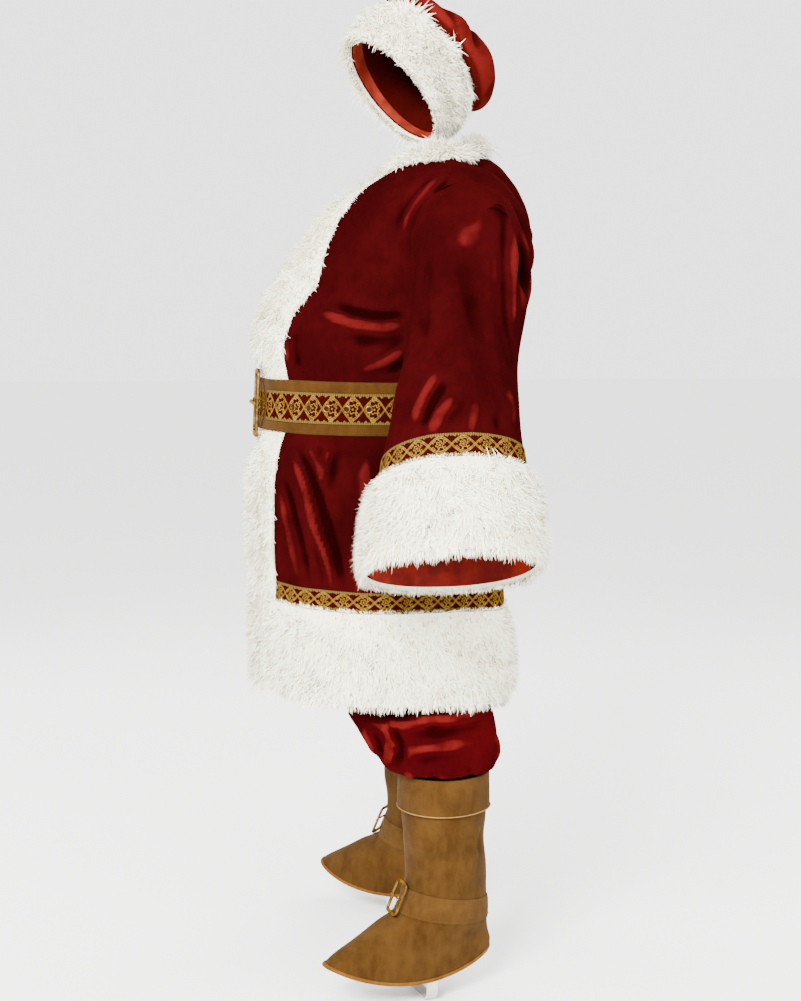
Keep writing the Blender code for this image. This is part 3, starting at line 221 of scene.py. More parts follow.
def weld_ends(mesh, rows, columns):
    """Joins a ring's first and last columns and drops the two end walls between them."""
    import bmesh
    bm = bmesh.new()
    bm.from_mesh(mesh)
    bm.faces.ensure_lookup_table()
    ends = 2 * (rows - 1)
    total = len(bm.faces)
    bmesh.ops.delete(bm, geom=[bm.faces[i] for i in range(total - ends, total)], context="FACES_ONLY")
    bm.verts.ensure_lookup_table()
    pairs = {}
    for layer in (0, rows * columns):
        for r in range(rows):
            first = layer + r * columns
            pairs[bm.verts[first + columns - 1]] = bm.verts[first]
    bmesh.ops.weld_verts(bm, targetmap=pairs)
    bm.to_mesh(mesh)
    bm.free()


def add_joined(name, parts, finish, replaces=()):
    """Many small closed shapes as one mesh: parts is a list of (points, faces, uv or None)."""
    points, faces, uvs, start = [], [], [], 0
    for p, f, uv in parts:
        points.append(np.asarray(p).reshape(-1, 3))
        faces.append(np.asarray(f) + start)
        uvs.append(np.zeros((len(points[-1]), 2)) if uv is None else np.asarray(uv).reshape(-1, 2))
        start += len(points[-1])
    sizes = sorted({f.shape[1] for f in faces})
    grouped = [np.concatenate([f for f in faces if f.shape[1] == n]) for n in sizes]
    mesh = new_mesh(name, np.concatenate(points), grouped, np.concatenate(uvs))
    mesh.set_sharp_from_angle(angle=math.radians(50))
    return add_piece(name, mesh, finish, replaces)


print("walls of 2 x 2 points have", len(wall_faces(2, 2, False)), "faces")
# %% [markdown]
# ## Colour, light and camera
# The suit is seen from the wearer's left, a little above the middle, so the camera stands there. A white
# room lights it softly from all sides, a large lamp lights it from the upper front (the velvet's bright
# folds are painted highlights in its colour), and a weaker one behind lifts the fur's edge off the pale floor.

# %% Camera, floor and lamps
CAMERA_TURN, CAMERA_PITCH, CAMERA_DISTANCE = math.radians(82), math.radians(5.83), 3.2
away = Vector((math.sin(CAMERA_TURN), -math.cos(CAMERA_TURN), 0))
camera_data = bpy.data.cameras.new("camera")
camera_data.lens, camera_data.sensor_width = 59.0, 36.0
camera = bpy.data.objects.new("camera", camera_data)
bpy.context.scene.collection.objects.link(camera)
camera.location = away * CAMERA_DISTANCE + Vector((0, -0.087, 1.235 - NECK_HEIGHT))
camera.rotation_euler = (math.pi / 2 - CAMERA_PITCH, 0, CAMERA_TURN)
bpy.context.scene.camera = camera


def plain_finish(name, colour, roughness):
    made = bpy.data.materials.new(name)
    made.use_nodes = True
    shader = made.node_tree.nodes["Principled BSDF"]
    shader.inputs["Base Color"].default_value = (*colour, 1)
    shader.inputs["Roughness"].default_value = roughness
    shader.inputs["Specular IOR Level"].default_value = 0.0
    return made


bpy.ops.mesh.primitive_plane_add(size=80, location=(0, 0, -NECK_HEIGHT))
floor = bpy.context.object
floor.name = "floor"
floor.data.materials.append(plain_finish("floor", (0.93, 0.93, 0.925), 0.9))

world = bpy.data.worlds.new("room")
bpy.context.scene.world = world
world.use_nodes = True
room = world.node_tree.nodes["Background"]
room.inputs["Color"].default_value = (1.0, 1.0, 0.995, 1)
room.inputs["Strength"].default_value = 2.7


def add_lamp(name, place, aim, size, power, colour=(1, 0.98, 0.95)):
    lamp = bpy.data.lights.new(name, "AREA")
    lamp.shape, lamp.size, lamp.energy, lamp.color = "SQUARE", size, power, colour
    holder = bpy.data.objects.new(name, lamp)
    bpy.context.scene.collection.objects.link(holder)
    holder.location = Vector(place) - Vector((0, 0, NECK_HEIGHT))
    direction = Vector(aim) - Vector(place)
    holder.rotation_euler = direction.to_track_quat("-Z", "Y").to_euler()
    return holder


add_lamp("key", (3.3, -1.9, 3.0), (0, -0.1, 1.0), 1.5, 700)
add_lamp("side", (3.4, 1.5, 1.9), (0, -0.1, 1.0), 1.8, 130)
add_lamp("behind", (-1.8, 2.6, 2.6), (0, 0, 1.1), 1.8, 130)
add_lamp("far side", (-2.6, -2.2, 2.2), (0, 0, 1.0), 1.8, 90)
print("camera", [round(v, 3) for v in camera.location], "lens", camera_data.lens)

# %% [markdown]
# ## Finishes
# Blender's nodes can be written as sums. A tiny class wraps a socket so that `sin(u * 80) * 0.5 + 0.5`
# builds the math nodes for us; the finishes then read like the pattern they draw. Velvet is a dark red
# with a faint sheen; the bright edges of its folds are painted highlights and its valleys painted shade.

# %% A small way to write nodes
class Sum:
    """A number inside a material, which can be added, multiplied, compared and so on."""

    def __init__(self, tree, socket):
        self.tree, self.socket = tree, socket

    def math(self, kind, *others):
        node = self.tree.nodes.new("ShaderNodeMath")
        node.operation = kind
        for i, value in enumerate((self, *others)):
            if isinstance(value, Sum):
                self.tree.links.new(value.socket, node.inputs[i])
            else:
                node.inputs[i].default_value = value
        return Sum(self.tree, node.outputs[0])

    def __add__(self, other):
        return self.math("ADD", other)

    def __mul__(self, other):
        return self.math("MULTIPLY", other)

    def __sub__(self, other):
        return self.math("SUBTRACT", other)

    def step(self, low, high):
        """0 below low, 1 above high, smooth between."""
        node = self.tree.nodes.new("ShaderNodeMapRange")
        node.interpolation_type = "SMOOTHSTEP"
        node.inputs["From Min"].default_value, node.inputs["From Max"].default_value = low, high
        self.tree.links.new(self.socket, node.inputs["Value"])
        return Sum(self.tree, node.outputs["Result"])

    def flip(self):
        return (self * -1.0) + 1.0


class Finish:
    """A Principled material that is put together step by step."""

    def __init__(self, name, roughness=0.6, metallic=0.0, **even):
        self.material = bpy.data.materials.new(name)
        self.material.use_nodes = True
        self.tree = self.material.node_tree
        self.shader = self.tree.nodes["Principled BSDF"]
        even = {"Roughness": roughness, "Metallic": metallic, **even}
        for key, value in even.items():
            self.shader.inputs[key].default_value = value
        self.place = self.tree.nodes.new("ShaderNodeTexCoord")
        self.uv = self.tree.nodes.new("ShaderNodeSeparateXYZ")
        self.tree.links.new(self.place.outputs["UV"], self.uv.inputs[0])
        self.u, self.v = Sum(self.tree, self.uv.outputs[0]), Sum(self.tree, self.uv.outputs[1])

    def noise(self, scale, detail=3.0, rough=0.55, on="Object", stretch=None):
        node = self.tree.nodes.new("ShaderNodeTexNoise")
        node.inputs["Scale"].default_value = scale
        node.inputs["Detail"].default_value = detail
        node.inputs["Roughness"].default_value = rough
        source = self.place.outputs[on]
        if stretch:
            turn = self.tree.nodes.new("ShaderNodeMapping")
            turn.inputs["Scale"].default_value = stretch
            self.tree.links.new(source, turn.inputs[0])
            source = turn.outputs[0]
        self.tree.links.new(source, node.inputs["Vector"])
        return Sum(self.tree, node.outputs[0])

    def fold(self):
        """Ridges and valleys stored with the mesh: 1 on a ridge, -1 in a valley, 0 on even cloth."""
        node = self.tree.nodes.new("ShaderNodeAttribute")
        node.attribute_name = "fold"
        return Sum(self.tree, node.outputs["Fac"])

    def mix(self, share, low, high):
        """A colour between two colours (or earlier mixes), by a share."""
        node = self.tree.nodes.new("ShaderNodeMix")
        node.data_type = "RGBA"
        self.tree.links.new(share.socket, node.inputs["Factor"])
        for socket, value in ((node.inputs[6], low), (node.inputs[7], high)):
            if isinstance(value, bpy.types.NodeSocket):
                self.tree.links.new(value, socket)
            else:
                socket.default_value = (*value, 1)
        return node.outputs[2]

    def colour(self, socket):
        self.tree.links.new(socket, self.shader.inputs["Base Color"])

    def roughness(self, value):
        self.tree.links.new(value.socket, self.shader.inputs["Roughness"])

    def bump(self, height, depth, strength=1.0):
        node = self.tree.nodes.new("ShaderNodeBump")
        node.inputs["Distance"].default_value = depth
        node.inputs["Strength"].default_value = strength
        self.tree.links.new(height.socket, node.inputs["Height"])
        self.tree.links.new(node.outputs[0], self.shader.inputs["Normal"])


# %% Velvet, satin and fur
def velvet(name, dark, light, ridge):
    """Crushed pile, with a painted highlight along ridges and painted shade in valleys, read from the stored fold
    heights.
    """
    cloth = Finish(name, 0.8, **{"Specular IOR Level": 0.0})
    cloth.shader.inputs["Sheen Weight"].default_value = 0.022
    cloth.shader.inputs["Sheen Roughness"].default_value = 0.25
    cloth.shader.inputs["Sheen Tint"].default_value = (0.9, 0.09, 0.07, 1)
    crushed = cloth.noise(6, 4, 0.6).step(0.36, 0.68)
    fine = cloth.noise(150, 2, 0.6, stretch=(1, 1, 0.3))
    even = cloth.mix(crushed * 0.65 + fine * 0.35, dark, light)
    broken = cloth.noise(24, 3, 0.6).step(0.15, 0.62)
    # Painted highlight: ridges take the ridge colour, broken up by noise.
    lit = cloth.mix(cloth.fold().step(0.4, 1.0) * broken * 0.7, even, ridge)
    # Painted shade: valleys darken towards 0.3 of the dark colour.
    cloth.colour(cloth.mix((cloth.fold() * -1.0).step(0.05, 0.95) * 0.8, lit, tuple(c * 0.3 for c in dark)))
    cloth.bump(cloth.noise(900, 2) + cloth.noise(60, 3) * 1.5, 0.0006, 0.5)
    return cloth.material


def satin(name, dark, light):
    cloth = Finish(name, 0.5, **{"Specular IOR Level": 0.05})
    soft = cloth.noise(14, 3).step(0.35, 0.65)
    cloth.colour(cloth.mix(soft, dark, light))
    ripple = cloth.noise(30, 3, 0.5, stretch=(1, 1, 0.25))
    cloth.bump(ripple, 0.004, 0.5)
    return cloth.material


def fur(name, root, tip, shade):
    """On a tuft, u is a number of its own and v runs from its root to its tip."""
    pile = Finish(name, 0.72, **{"Specular IOR Level": 0.2})
    pile.shader.inputs["Sheen Weight"].default_value = 0.35
    pile.shader.inputs["Sheen Roughness"].default_value = 0.5
    pile.shader.inputs["Sheen Tint"].default_value = (1.0, 0.98, 0.92, 1)
    pile.shader.inputs["Subsurface Weight"].default_value = 0.0
    # Painted shade: each tuft is darker and yellower toward its root, deep in the pile.
    along = pile.mix(pile.v.step(0.0, 0.75), root, tip)
    cloudy = pile.noise(22, 3).step(0.42, 0.66)
    own = pile.u.step(0.0, 1.0)
    pile.colour(pile.mix(cloudy * 0.35 + own * 0.18, along, shade))
    return pile.material


def fur_base(name, deep, pale):
    under = Finish(name, 0.9)
    strands = under.noise(420, 3, 0.7, stretch=(1, 1, 0.2))
    # Painted shade: the ground under the tufts is darker than the tufts.
    under.colour(under.mix(strands.step(0.35, 0.65), deep, pale))
    under.bump(strands, 0.003, 0.7)
    return under.material


# Each velvet's third colour is the painted highlight on its ridges.
COAT_VELVET = velvet("coat velvet", (0.01, 0.0005, 0.0007), (0.024, 0.0012, 0.0016), (0.06, 0.0044, 0.0042))
TROUSER_VELVET = velvet("trouser velvet", (0.016, 0.0006, 0.0011), (0.034, 0.0014, 0.002),
                        (0.085, 0.0056, 0.0052))
HAT_VELVET = velvet("hat velvet", (0.02, 0.0012, 0.0011), (0.042, 0.0028, 0.0024), (0.085, 0.0062, 0.0052))
SATIN_LINING = satin("satin lining", (0.06, 0.0022, 0.0014), (0.15, 0.008, 0.0036))
HAT_LINING = satin("hat lining", (0.1, 0.009, 0.005), (0.22, 0.026, 0.014))
IVORY_FUR = fur("ivory fur", (0.8, 0.745, 0.53), (1.0, 0.965, 0.79), (0.91, 0.865, 0.64))
FUR_BASE = fur_base("fur ground", (0.62, 0.585, 0.43), (0.9, 0.87, 0.7))

# %% [markdown]
# Suede is leather with its rough side out: its colour wanders where it has been brushed or rubbed, and
# it hardly shines. The braid is a woven ribbon with a traditional scrolling vine in gold on dark red,
# between two looped gimp edges. Drawing it from sines and rings in metres keeps every repeat the same.

# %% Suede, braid, brass and elastic
def suede(name, dark, light, brushed):
    hide = Finish(name, 0.92, **{"Specular IOR Level": 0.02})
    hide.shader.inputs["Sheen Weight"].default_value = 0.03
    hide.shader.inputs["Sheen Roughness"].default_value = 0.5
    hide.shader.inputs["Sheen Tint"].default_value = (1.0, 0.75, 0.5, 1)
    patches = hide.noise(13, 4, 0.6).step(0.3, 0.74)
    strokes = hide.noise(60, 4, 0.65, stretch=(1, 1, 0.4)).step(0.3, 0.75)
    base = hide.mix(patches, dark, light)
    hide.colour(hide.mix(strokes * 0.45, base, brushed))
    hide.bump(hide.noise(1400, 2) + hide.noise(170, 3) * 1.6, 0.0005, 0.6)
    return hide.material


def braid(name, half_width):
    """Two waves of 78 mm cross every 39 mm; each lozenge between them holds a rosette and scrolls."""
    ribbon = Finish(name, 0.7, **{"Specular IOR Level": 0.0})
    u, v = ribbon.u, ribbon.v - half_width
    wave = (u * (2 * math.pi / 0.078)).math("SINE") * (half_width * 0.66)
    gold = None
    for way in (1.0, -1.0):
        off = (v - wave * way).math("ABSOLUTE")
        line = (off - 0.0016).math("ABSOLUTE").step(0.0006, 0.0012).flip()
        gold = line if gold is None else gold.math("MAXIMUM", line)
    half = (u * (1 / 0.039)).math("FRACT")
    du = (half - 0.5) * 0.039
    far = ((du * du) + (v * v)).math("SQRT")
    turn = du.math("ARCTAN2", v)
    petal = (turn * 6.0).math("SINE") * 0.0013
    ring = (far - petal - half_width * 0.26).math("ABSOLUTE").step(0.0008, 0.0015).flip()
    eye = far.step(0.0016, 0.0024).flip()
    for step, height, size in ((0.039, 0.7, 0.004), (0.0195, 0.34, 0.0026), (0.013, 0.84, 0.0016)):
        cu = ((u * (1 / step)).math("FRACT") - 0.5) * step
        cv = v.math("ABSOLUTE") - half_width * height
        scroll = ((cu * cu) + (cv * cv)).math("SQRT") + cu.math("ARCTAN2", cv) * (size * 0.16)
        gold = gold.math("MAXIMUM", (scroll - size).math("ABSOLUTE").step(0.0006, 0.0012).flip())
    gold = gold.math("MAXIMUM", ring).math("MAXIMUM", eye)
    loops = ((u * (math.pi / 0.0042)).math("SINE")).math("ABSOLUTE") * 0.002
    edge = (v.math("ABSOLUTE") + loops).step(half_width - 0.0036, half_width - 0.0028)
    weave = (u * (2 * math.pi / 0.0011)).math("SINE") * (v * (2 * math.pi / 0.0011)).math("SINE")
    weave = weave * 0.5 + 0.5
    worn = ribbon.noise(45, 3).step(0.3, 0.7)
    ground = ribbon.mix(weave, (0.006, 0.0003, 0.0002), (0.026, 0.0018, 0.001))
    thread = ribbon.mix(worn * 0.6 + weave * 0.4, (0.08, 0.042, 0.006), (0.165, 0.098, 0.019))
    pattern = ribbon.mix(gold, ground, thread)
    gimp = ribbon.mix((loops * 700.0).math("MINIMUM", 1.0), (0.0075, 0.0048, 0.0012), (0.08, 0.054, 0.014))
    ribbon.colour(ribbon.mix(edge, pattern, gimp))
    ribbon.bump(gold * 0.7 + edge * 0.8 + weave * 0.18, 0.0012, 0.7)
    return ribbon.material


def metal(name, dark, light, roughness):
    brass = Finish(name, roughness, 1.0, **{"Specular Tint": (0.62, 0.4, 0.14, 1)})
    brass.colour(brass.mix(brass.noise(70, 4, 0.65).step(0.35, 0.7), dark, light))
    brass.roughness(brass.noise(140, 3) * 0.3 + roughness * 0.6)
    brass.bump(brass.noise(300, 3), 0.0003, 0.35)
    return brass.material


def woven_elastic(name, dark, light):
    tape = Finish(name, 0.8)
    ribs = (tape.v * (2 * math.pi / 0.0016)).math("SINE") * 0.5 + 0.5
    tape.colour(tape.mix(ribs, dark, light))
    tape.bump(ribs, 0.0004, 0.6)
    return tape.material


BELT_SUEDE = suede("belt suede", (0.024, 0.0096, 0.0016), (0.0386, 0.016, 0.0028), (0.048, 0.0213, 0.0048))
BOOT_SUEDE = suede("boot suede", (0.025, 0.0105, 0.002), (0.0464, 0.0209, 0.0044), (0.0595, 0.0286, 0.0071))
# The strap's suede is the boot's suede made lighter: painted light on the raised strap.
LIT_STRAP_SUEDE = suede("strap suede painted lighter", (0.034, 0.0144, 0.003), (0.056, 0.0262, 0.006), (0.072, 0.036, 0.01))
BINDING = suede("edge binding", (0.0714, 0.025, 0.0036), (0.1142, 0.0464, 0.0086), (0.1285, 0.0571, 0.0143))
THREAD = suede("waxed thread", (0.04, 0.018, 0.0056), (0.068, 0.032, 0.01), (0.08, 0.04, 0.016))
BELT_BRAID = braid("belt braid", 0.03)
TRIM_BRAID = braid("trim braid", 0.0205)
BRASS = metal("worn brass", (0.07, 0.038, 0.0095), (0.19, 0.112, 0.034), 0.4)
ELASTIC = woven_elastic("elastic tape", (0.3, 0.285, 0.24), (0.62, 0.6, 0.52))
print("finishes:", len(bpy.data.materials))
# %% [markdown]
# ## The coat's body
# The coat is drawn as level rings, from the hem up to the armpit, and above them as patches that run up
# to the shoulder seams. These tables repeat the solid model's sizes, because what is shown must lie
# where the solid lies. The rings are squared ovals: a belted coat is flatter in front than a circle.

# %% The coat's tables
BAND_HALF_WIDTH, FUR_DEPTH = 0.135, 0.027
SEAM_GAP, VELVET, SATIN, SUEDE, BRAID = 0.0003, 0.002, 0.001, 0.0022, 0.0016
# level, z in front, at the side and behind, half width, y of the widest line, of the front and of the back
BODY_RINGS = [
    ("hem edge", 0.00, 0.58, 0.574, 0.542, 0.29, -0.12, -0.362, 0.112),
    ("fur middle", 0.12, 0.662, 0.655, 0.63, 0.288, -0.12, -0.363, 0.112),
    ("braid", 0.24, 0.757, 0.75, 0.73, 0.282, -0.119, -0.362, 0.11),
    ("skirt", 0.42, 0.895, 0.89, 0.872, 0.266, -0.114, -0.368, 0.11),
    ("below belt", 0.58, 1.025, 1.022, 1.014, 0.24, -0.108, -0.362, 0.112),
    ("belt", 0.67, 1.1, 1.096, 1.092, 0.226, -0.103, -0.344, 0.115),
    ("above belt", 0.76, 1.18, 1.172, 1.172, 0.234, -0.096, -0.354, 0.124),
    ("belly", 0.86, 1.255, 1.232, 1.24, 0.237, -0.07, -0.35, 0.136),
    ("armpit", 1.00, 1.345, 1.29, 1.33, 0.236, 0.012, -0.3, 0.15)]
FUR_TOP, BRAID_BOTTOM, BRAID_TOP = 0.218, 0.222, 0.266
BELT_BOTTOM, BELT_TOP, BELT_BRAID_FROM, BELT_BRAID_TO = 0.613, 0.727, 0.637, 0.703
BODY_LEVELS = [0.0, 0.065, 0.135, 0.203, FUR_TOP, BRAID_BOTTOM, BRAID_TOP, 0.35, 0.45, 0.53, 0.59,
               BELT_BOTTOM, BELT_BRAID_FROM, BELT_BRAID_TO, BELT_TOP, 0.75, 0.82, 0.91, 1.0]
SQUARENESS, YOKE_ROWS, BAND_COLUMNS, FRONT_COLUMNS, BACK_COLUMNS = 2.3, 8, 3, 9, 8
# where round the body in degrees, how wide, how far out, and between which levels
BODY_FOLDS = [(44, 9, 0.006, 0.24, 0.6), (60, 8, -0.007, 0.24, 0.6), (78, 10, 0.006, 0.1, 0.58),
              (118, 11, -0.007, 0.05, 0.6), (140, 12, 0.007, 0.05, 0.6), (165, 10, -0.005, 0.05, 0.58),
              (62, 30, -0.006, 0.77, 0.83), (55, 34, 0.004, 0.83, 0.9), (150, 40, 0.007, 0.76, 0.84)]
NECK_HALF_WIDTH, NECK_MIDDLE_Y, NECK_HALF_DEPTH = 0.082, -0.02, 0.072
NECK_FRONT_Z, NECK_SIDE_Z, NECK_BACK_Z = 1.512, 1.573, 1.59
SHOULDER_TIP = (0.218, 0.008, 1.508)
CHEST_LINE = [(0, -0.3, 1.345), (0, -0.262, 1.392), (0, -0.208, 1.44), (0, -0.15, 1.48),
              (0, -0.092, 1.512)]
BACK_LINE = [(0, 0.15, 1.33), (0, 0.157, 1.4), (0, 0.152, 1.46), (0, 0.12, 1.528), (0, 0.052, 1.59)]
ARMHOLE_FRONT = [(0.226, -0.062, 1.322), (0.208, -0.098, 1.4), (0.212, -0.06, 1.482), SHOULDER_TIP]
ARMHOLE_BACK = [(0.214, 0.084, 1.325), (0.188, 0.114, 1.4), (0.206, 0.076, 1.482), SHOULDER_TIP]


def signed_power(x, power):
    return np.sign(x) * np.abs(x) ** power


def ring_point(around, level):
    """A point of the body: `around` is 0 at centre front and 90 at the wearer's left side."""
    z_front, z_side, z_back, half_width, y_mid, y_front, y_back = (
        float(table_column(BODY_RINGS, i, level)) for i in range(1, 8))
    sine, cosine = math.sin(math.radians(around)), math.cos(math.radians(around))
    lift = sum(height * math.exp(-((around - place) / width) ** 2)
               * smooth((level - low) / 0.06) * smooth((high - level) / 0.06)
               for place, width, height, low, high in BODY_FOLDS)
    reach = y_mid - y_front if cosine > 0 else y_back - y_mid
    power = 2 / SQUARENESS
    return np.array([(half_width + lift) * signed_power(sine, power),
                     y_mid - (reach + lift) * signed_power(cosine, power),
                     z_side + ((z_front if cosine > 0 else z_back) - z_side) * cosine * cosine])


def front_angles(level):
    """Even across the fur band, then even to the side seam."""
    half_width = float(table_column(BODY_RINGS, 4, level))
    edge = math.degrees(math.asin((BAND_HALF_WIDTH / half_width) ** (SQUARENESS / 2)))
    return np.concatenate([np.linspace(0, edge, BAND_COLUMNS + 1),
                           np.linspace(edge, 90, FRONT_COLUMNS - BAND_COLUMNS + 1)[1:]])


print("the coat's rings run from", BODY_RINGS[0][0], "to", BODY_RINGS[-1][0])

# %% [markdown]
# A patch between four edge curves is a Coons patch: it blends the curves across and up and takes the
# corners away once. It is the natural form for a yoke, which is cut to fit exactly such edges.

# %% Panels from the hem to the shoulder
def neckline_point(around):
    across, forward = math.sin(math.radians(around)), math.cos(math.radians(around))
    end_z = NECK_FRONT_Z if forward > 0 else NECK_BACK_Z
    return np.array([NECK_HALF_WIDTH * across, NECK_MIDDLE_Y - NECK_HALF_DEPTH * forward,
                     NECK_SIDE_Z + (end_z - NECK_SIDE_Z) * abs(forward) ** 1.5])


def shoulder_seam(count):
    start, end = neckline_point(90), np.array(SHOULDER_TIP)
    return curve_through([start, (start + end) / 2 + np.array([0, 0, 0.006]), end], count)


def yoke(bottom, centre, top, armhole, round_over):
    rows, columns = len(centre), len(bottom)
    v, u = np.linspace(0, 1, rows)[:, None, None], np.linspace(0, 1, columns)[None, :, None]
    corners = ((1 - u) * (1 - v) * bottom[0] + u * (1 - v) * bottom[-1]
               + (1 - u) * v * top[0] + u * v * top[-1])
    patch = (1 - v) * bottom + v * top + (1 - u) * centre[:, None] + u * armhole[:, None] - corners
    lift = round_over * np.maximum(np.sin(math.pi * v), 0) ** 1.2 * np.maximum(np.sin(math.pi * u), 0) ** 0.8
    return patch + lift * np.array([0.25, 0, 1])


def front_grid():
    skirt = np.array([[ring_point(a, level) for a in front_angles(level)] for level in BODY_LEVELS])
    neck = [neckline_point(a) for a in np.linspace(0, 62, BAND_COLUMNS + 1)] + [neckline_point(90)]
    top = np.array(neck + list(shoulder_seam(FRONT_COLUMNS - BAND_COLUMNS)[1:]))
    armhole = curve_through([skirt[-1, -1], *ARMHOLE_FRONT], YOKE_ROWS + 1)
    patch = yoke(skirt[-1], curve_through(CHEST_LINE, YOKE_ROWS + 1), top, armhole, 0.02)
    return np.concatenate([skirt, patch[1:]])


def back_grid():
    angles = np.linspace(90, 180, BACK_COLUMNS + 1)
    skirt = np.array([[ring_point(a, level) for a in angles] for level in BODY_LEVELS])
    seam = shoulder_seam(FRONT_COLUMNS - BAND_COLUMNS)[::-1]
    neck = [neckline_point(a) for a in np.linspace(90, 180, BACK_COLUMNS - len(seam) + 2)[1:]]
    armhole = curve_through([skirt[-1, 0], *ARMHOLE_BACK], YOKE_ROWS + 1)
    centre = curve_through(BACK_LINE, YOKE_ROWS + 1)
    patch = yoke(skirt[-1][::-1], centre, np.array(list(seam) + neck)[::-1], armhole, 0.016)[:, ::-1]
    return np.concatenate([skirt, patch[1:]])


front_left, back_half = front_grid(), back_grid()
back_whole = np.concatenate([back_half, mirrored(back_half)[:, 1:]], axis=1)
LOW = len(BODY_LEVELS) - 1        # the row of the armpit


def coat_normals():
    """Directions out of the cloth, shared along the seams so that neighbouring edges are mitred."""
    front, back = normals_of(front_left), normals_of(back_whole)
    half, side = back[:, :BACK_COLUMNS + 1], len(BODY_LEVELS)
    shared = normals_of(np.concatenate([front_left[:side], back_half[:side, 1:]], axis=1))
    front[:side], half[:side] = shared[:, :FRONT_COLUMNS + 1], shared[:, FRONT_COLUMNS:]
    front[:, 0] = unit(front[:, 0] * np.array([0, 1, 1]))
    half[:, -1] = unit(half[:, -1] * np.array([0, 1, 1]))
    seam = FRONT_COLUMNS - BAND_COLUMNS
    ridge = unit(front[-1, -seam:] + half[-1, :seam][::-1])
    front[-1, -seam:], half[-1, :seam] = ridge, ridge[::-1]
    return front, np.concatenate([half, mirrored(half)[:, 1:]], axis=1)


front_out, back_out = coat_normals()
print("front", front_left.shape[:2], "back", back_whole.shape[:2], "grid points")

# %% [markdown]
# ## The sleeves
# A sleeve is a row of tilted rings too. Its first ring is the armhole itself, and the offset between
# the two outlines fades out down the arm, so the cap flows out of the shoulder without a step.

# %% Sleeve rings
# along the arm, x and z of the innermost and the outermost point, y of the middle, half the depth
SLEEVE_RINGS = [
    ("armhole", 0.00, 0.238, 1.29, 0.218, 1.51, 0.012, 0.11),
    ("cap", 0.14, 0.246, 1.262, 0.286, 1.455, 0.008, 0.108),
    ("upper arm", 0.3, 0.252, 1.212, 0.34, 1.35, -0.008, 0.103),
    ("elbow", 0.46, 0.256, 1.14, 0.402, 1.24, -0.029, 0.101),
    ("forearm", 0.62, 0.268, 1.052, 0.468, 1.152, -0.043, 0.109),
    ("braid top", 0.76, 0.284, 0.962, 0.522, 1.066, -0.054, 0.122),
    ("fur top", 0.82, 0.292, 0.922, 0.542, 1.028, -0.056, 0.128),
    ("cuff edge", 1.00, 0.314, 0.785, 0.586, 0.898, -0.062, 0.148)]
CUFF_BRAID_FROM, CUFF_BRAID_TO, CUFF_FUR_FROM = 0.752, 0.808, 0.812
SLEEVE_STEPS = [0.0, 0.06, 0.13, 0.21, 0.31, 0.42, 0.53, 0.64, CUFF_BRAID_FROM, CUFF_BRAID_TO,
                CUFF_FUR_FROM, 0.835, 0.92, 1.0]
LOOP, SLEEVE_SQUARENESS = 2 * YOKE_ROWS, 2.25
# round the sleeve (0 innermost, 90 front, 180 outermost), width, height, from and to along the arm
SLEEVE_FOLDS = [(118, 13, 0.006, 0.08, 0.55), (88, 12, -0.007, 0.05, 0.5), (205, 16, 0.005, 0.15, 0.74),
                (262, 12, 0.008, 0.06, 0.6), (238, 11, -0.006, 0.1, 0.66)]


def sleeve_ring(along):
    x_in, z_in, x_out, z_out, y_mid, depth = (
        float(table_column(SLEEVE_RINGS, i, along)) for i in range(1, 7))
    inner, outer = np.array([x_in, y_mid, z_in]), np.array([x_out, y_mid, z_out])
    around = np.arange(LOOP) * 360 / LOOP
    angle, power = np.radians(around), 2 / SLEEVE_SQUARENESS
    lift = 1 + sum(height / 0.12 * np.exp(-((around - place) / width) ** 2)
                   * smooth((along - low) / 0.1) * smooth((high - along) / 0.1)
                   for place, width, height, low, high in SLEEVE_FOLDS)
    across = signed_power(np.cos(angle), power)[:, None] * (inner - outer) / 2
    forward = signed_power(np.sin(angle), power)[:, None] * np.array([0, depth, 0])
    return (inner + outer) / 2 + lift[:, None] * (across - forward)


def surface_of(*grids):
    points, faces = [], []
    for grid in grids:
        start, (rows, columns) = len(points), grid.shape[:2]
        points += [Vector(p) for p in grid.reshape(-1, 3).tolist()]
        corner = [start + r * columns + c for r in range(rows - 1) for c in range(columns - 1)]
        faces += [(i, i + 1, i + columns + 1) for i in corner]
        faces += [(i, i + columns + 1, i + columns) for i in corner]
    return BVHTree.FromPolygons(points, faces)


def held_clear(grid, surface, clearance):
    """Moves points out of a surface, until each is at least the clearance away from it."""
    moved = grid.copy()
    for index in np.ndindex(grid.shape[:2]):
        for _ in range(3):
            near, way, _, _ = surface.find_nearest(Vector(moved[index].tolist()))
            apart = (Vector(moved[index].tolist()) - near).dot(way)
            if apart < clearance:
                moved[index] += np.array(way) * (clearance - apart)
    return moved


body_surface = surface_of(front_left, back_whole, mirrored(front_left))
armhole = np.concatenate([front_left[LOW:, -1], back_half[LOW:, 0][::-1][1:-1]])
sleeve_left = np.array([sleeve_ring(s) for s in SLEEVE_STEPS])
sleeve_left += (armhole - sleeve_left[0]) * (1 - smooth(np.array(SLEEVE_STEPS) / 0.3))[:, None, None]
sleeve_left[1:] = held_clear(sleeve_left[1:], body_surface, 0.003)
sleeve_out = normals_of(sleeve_left[::-1], True)[::-1]


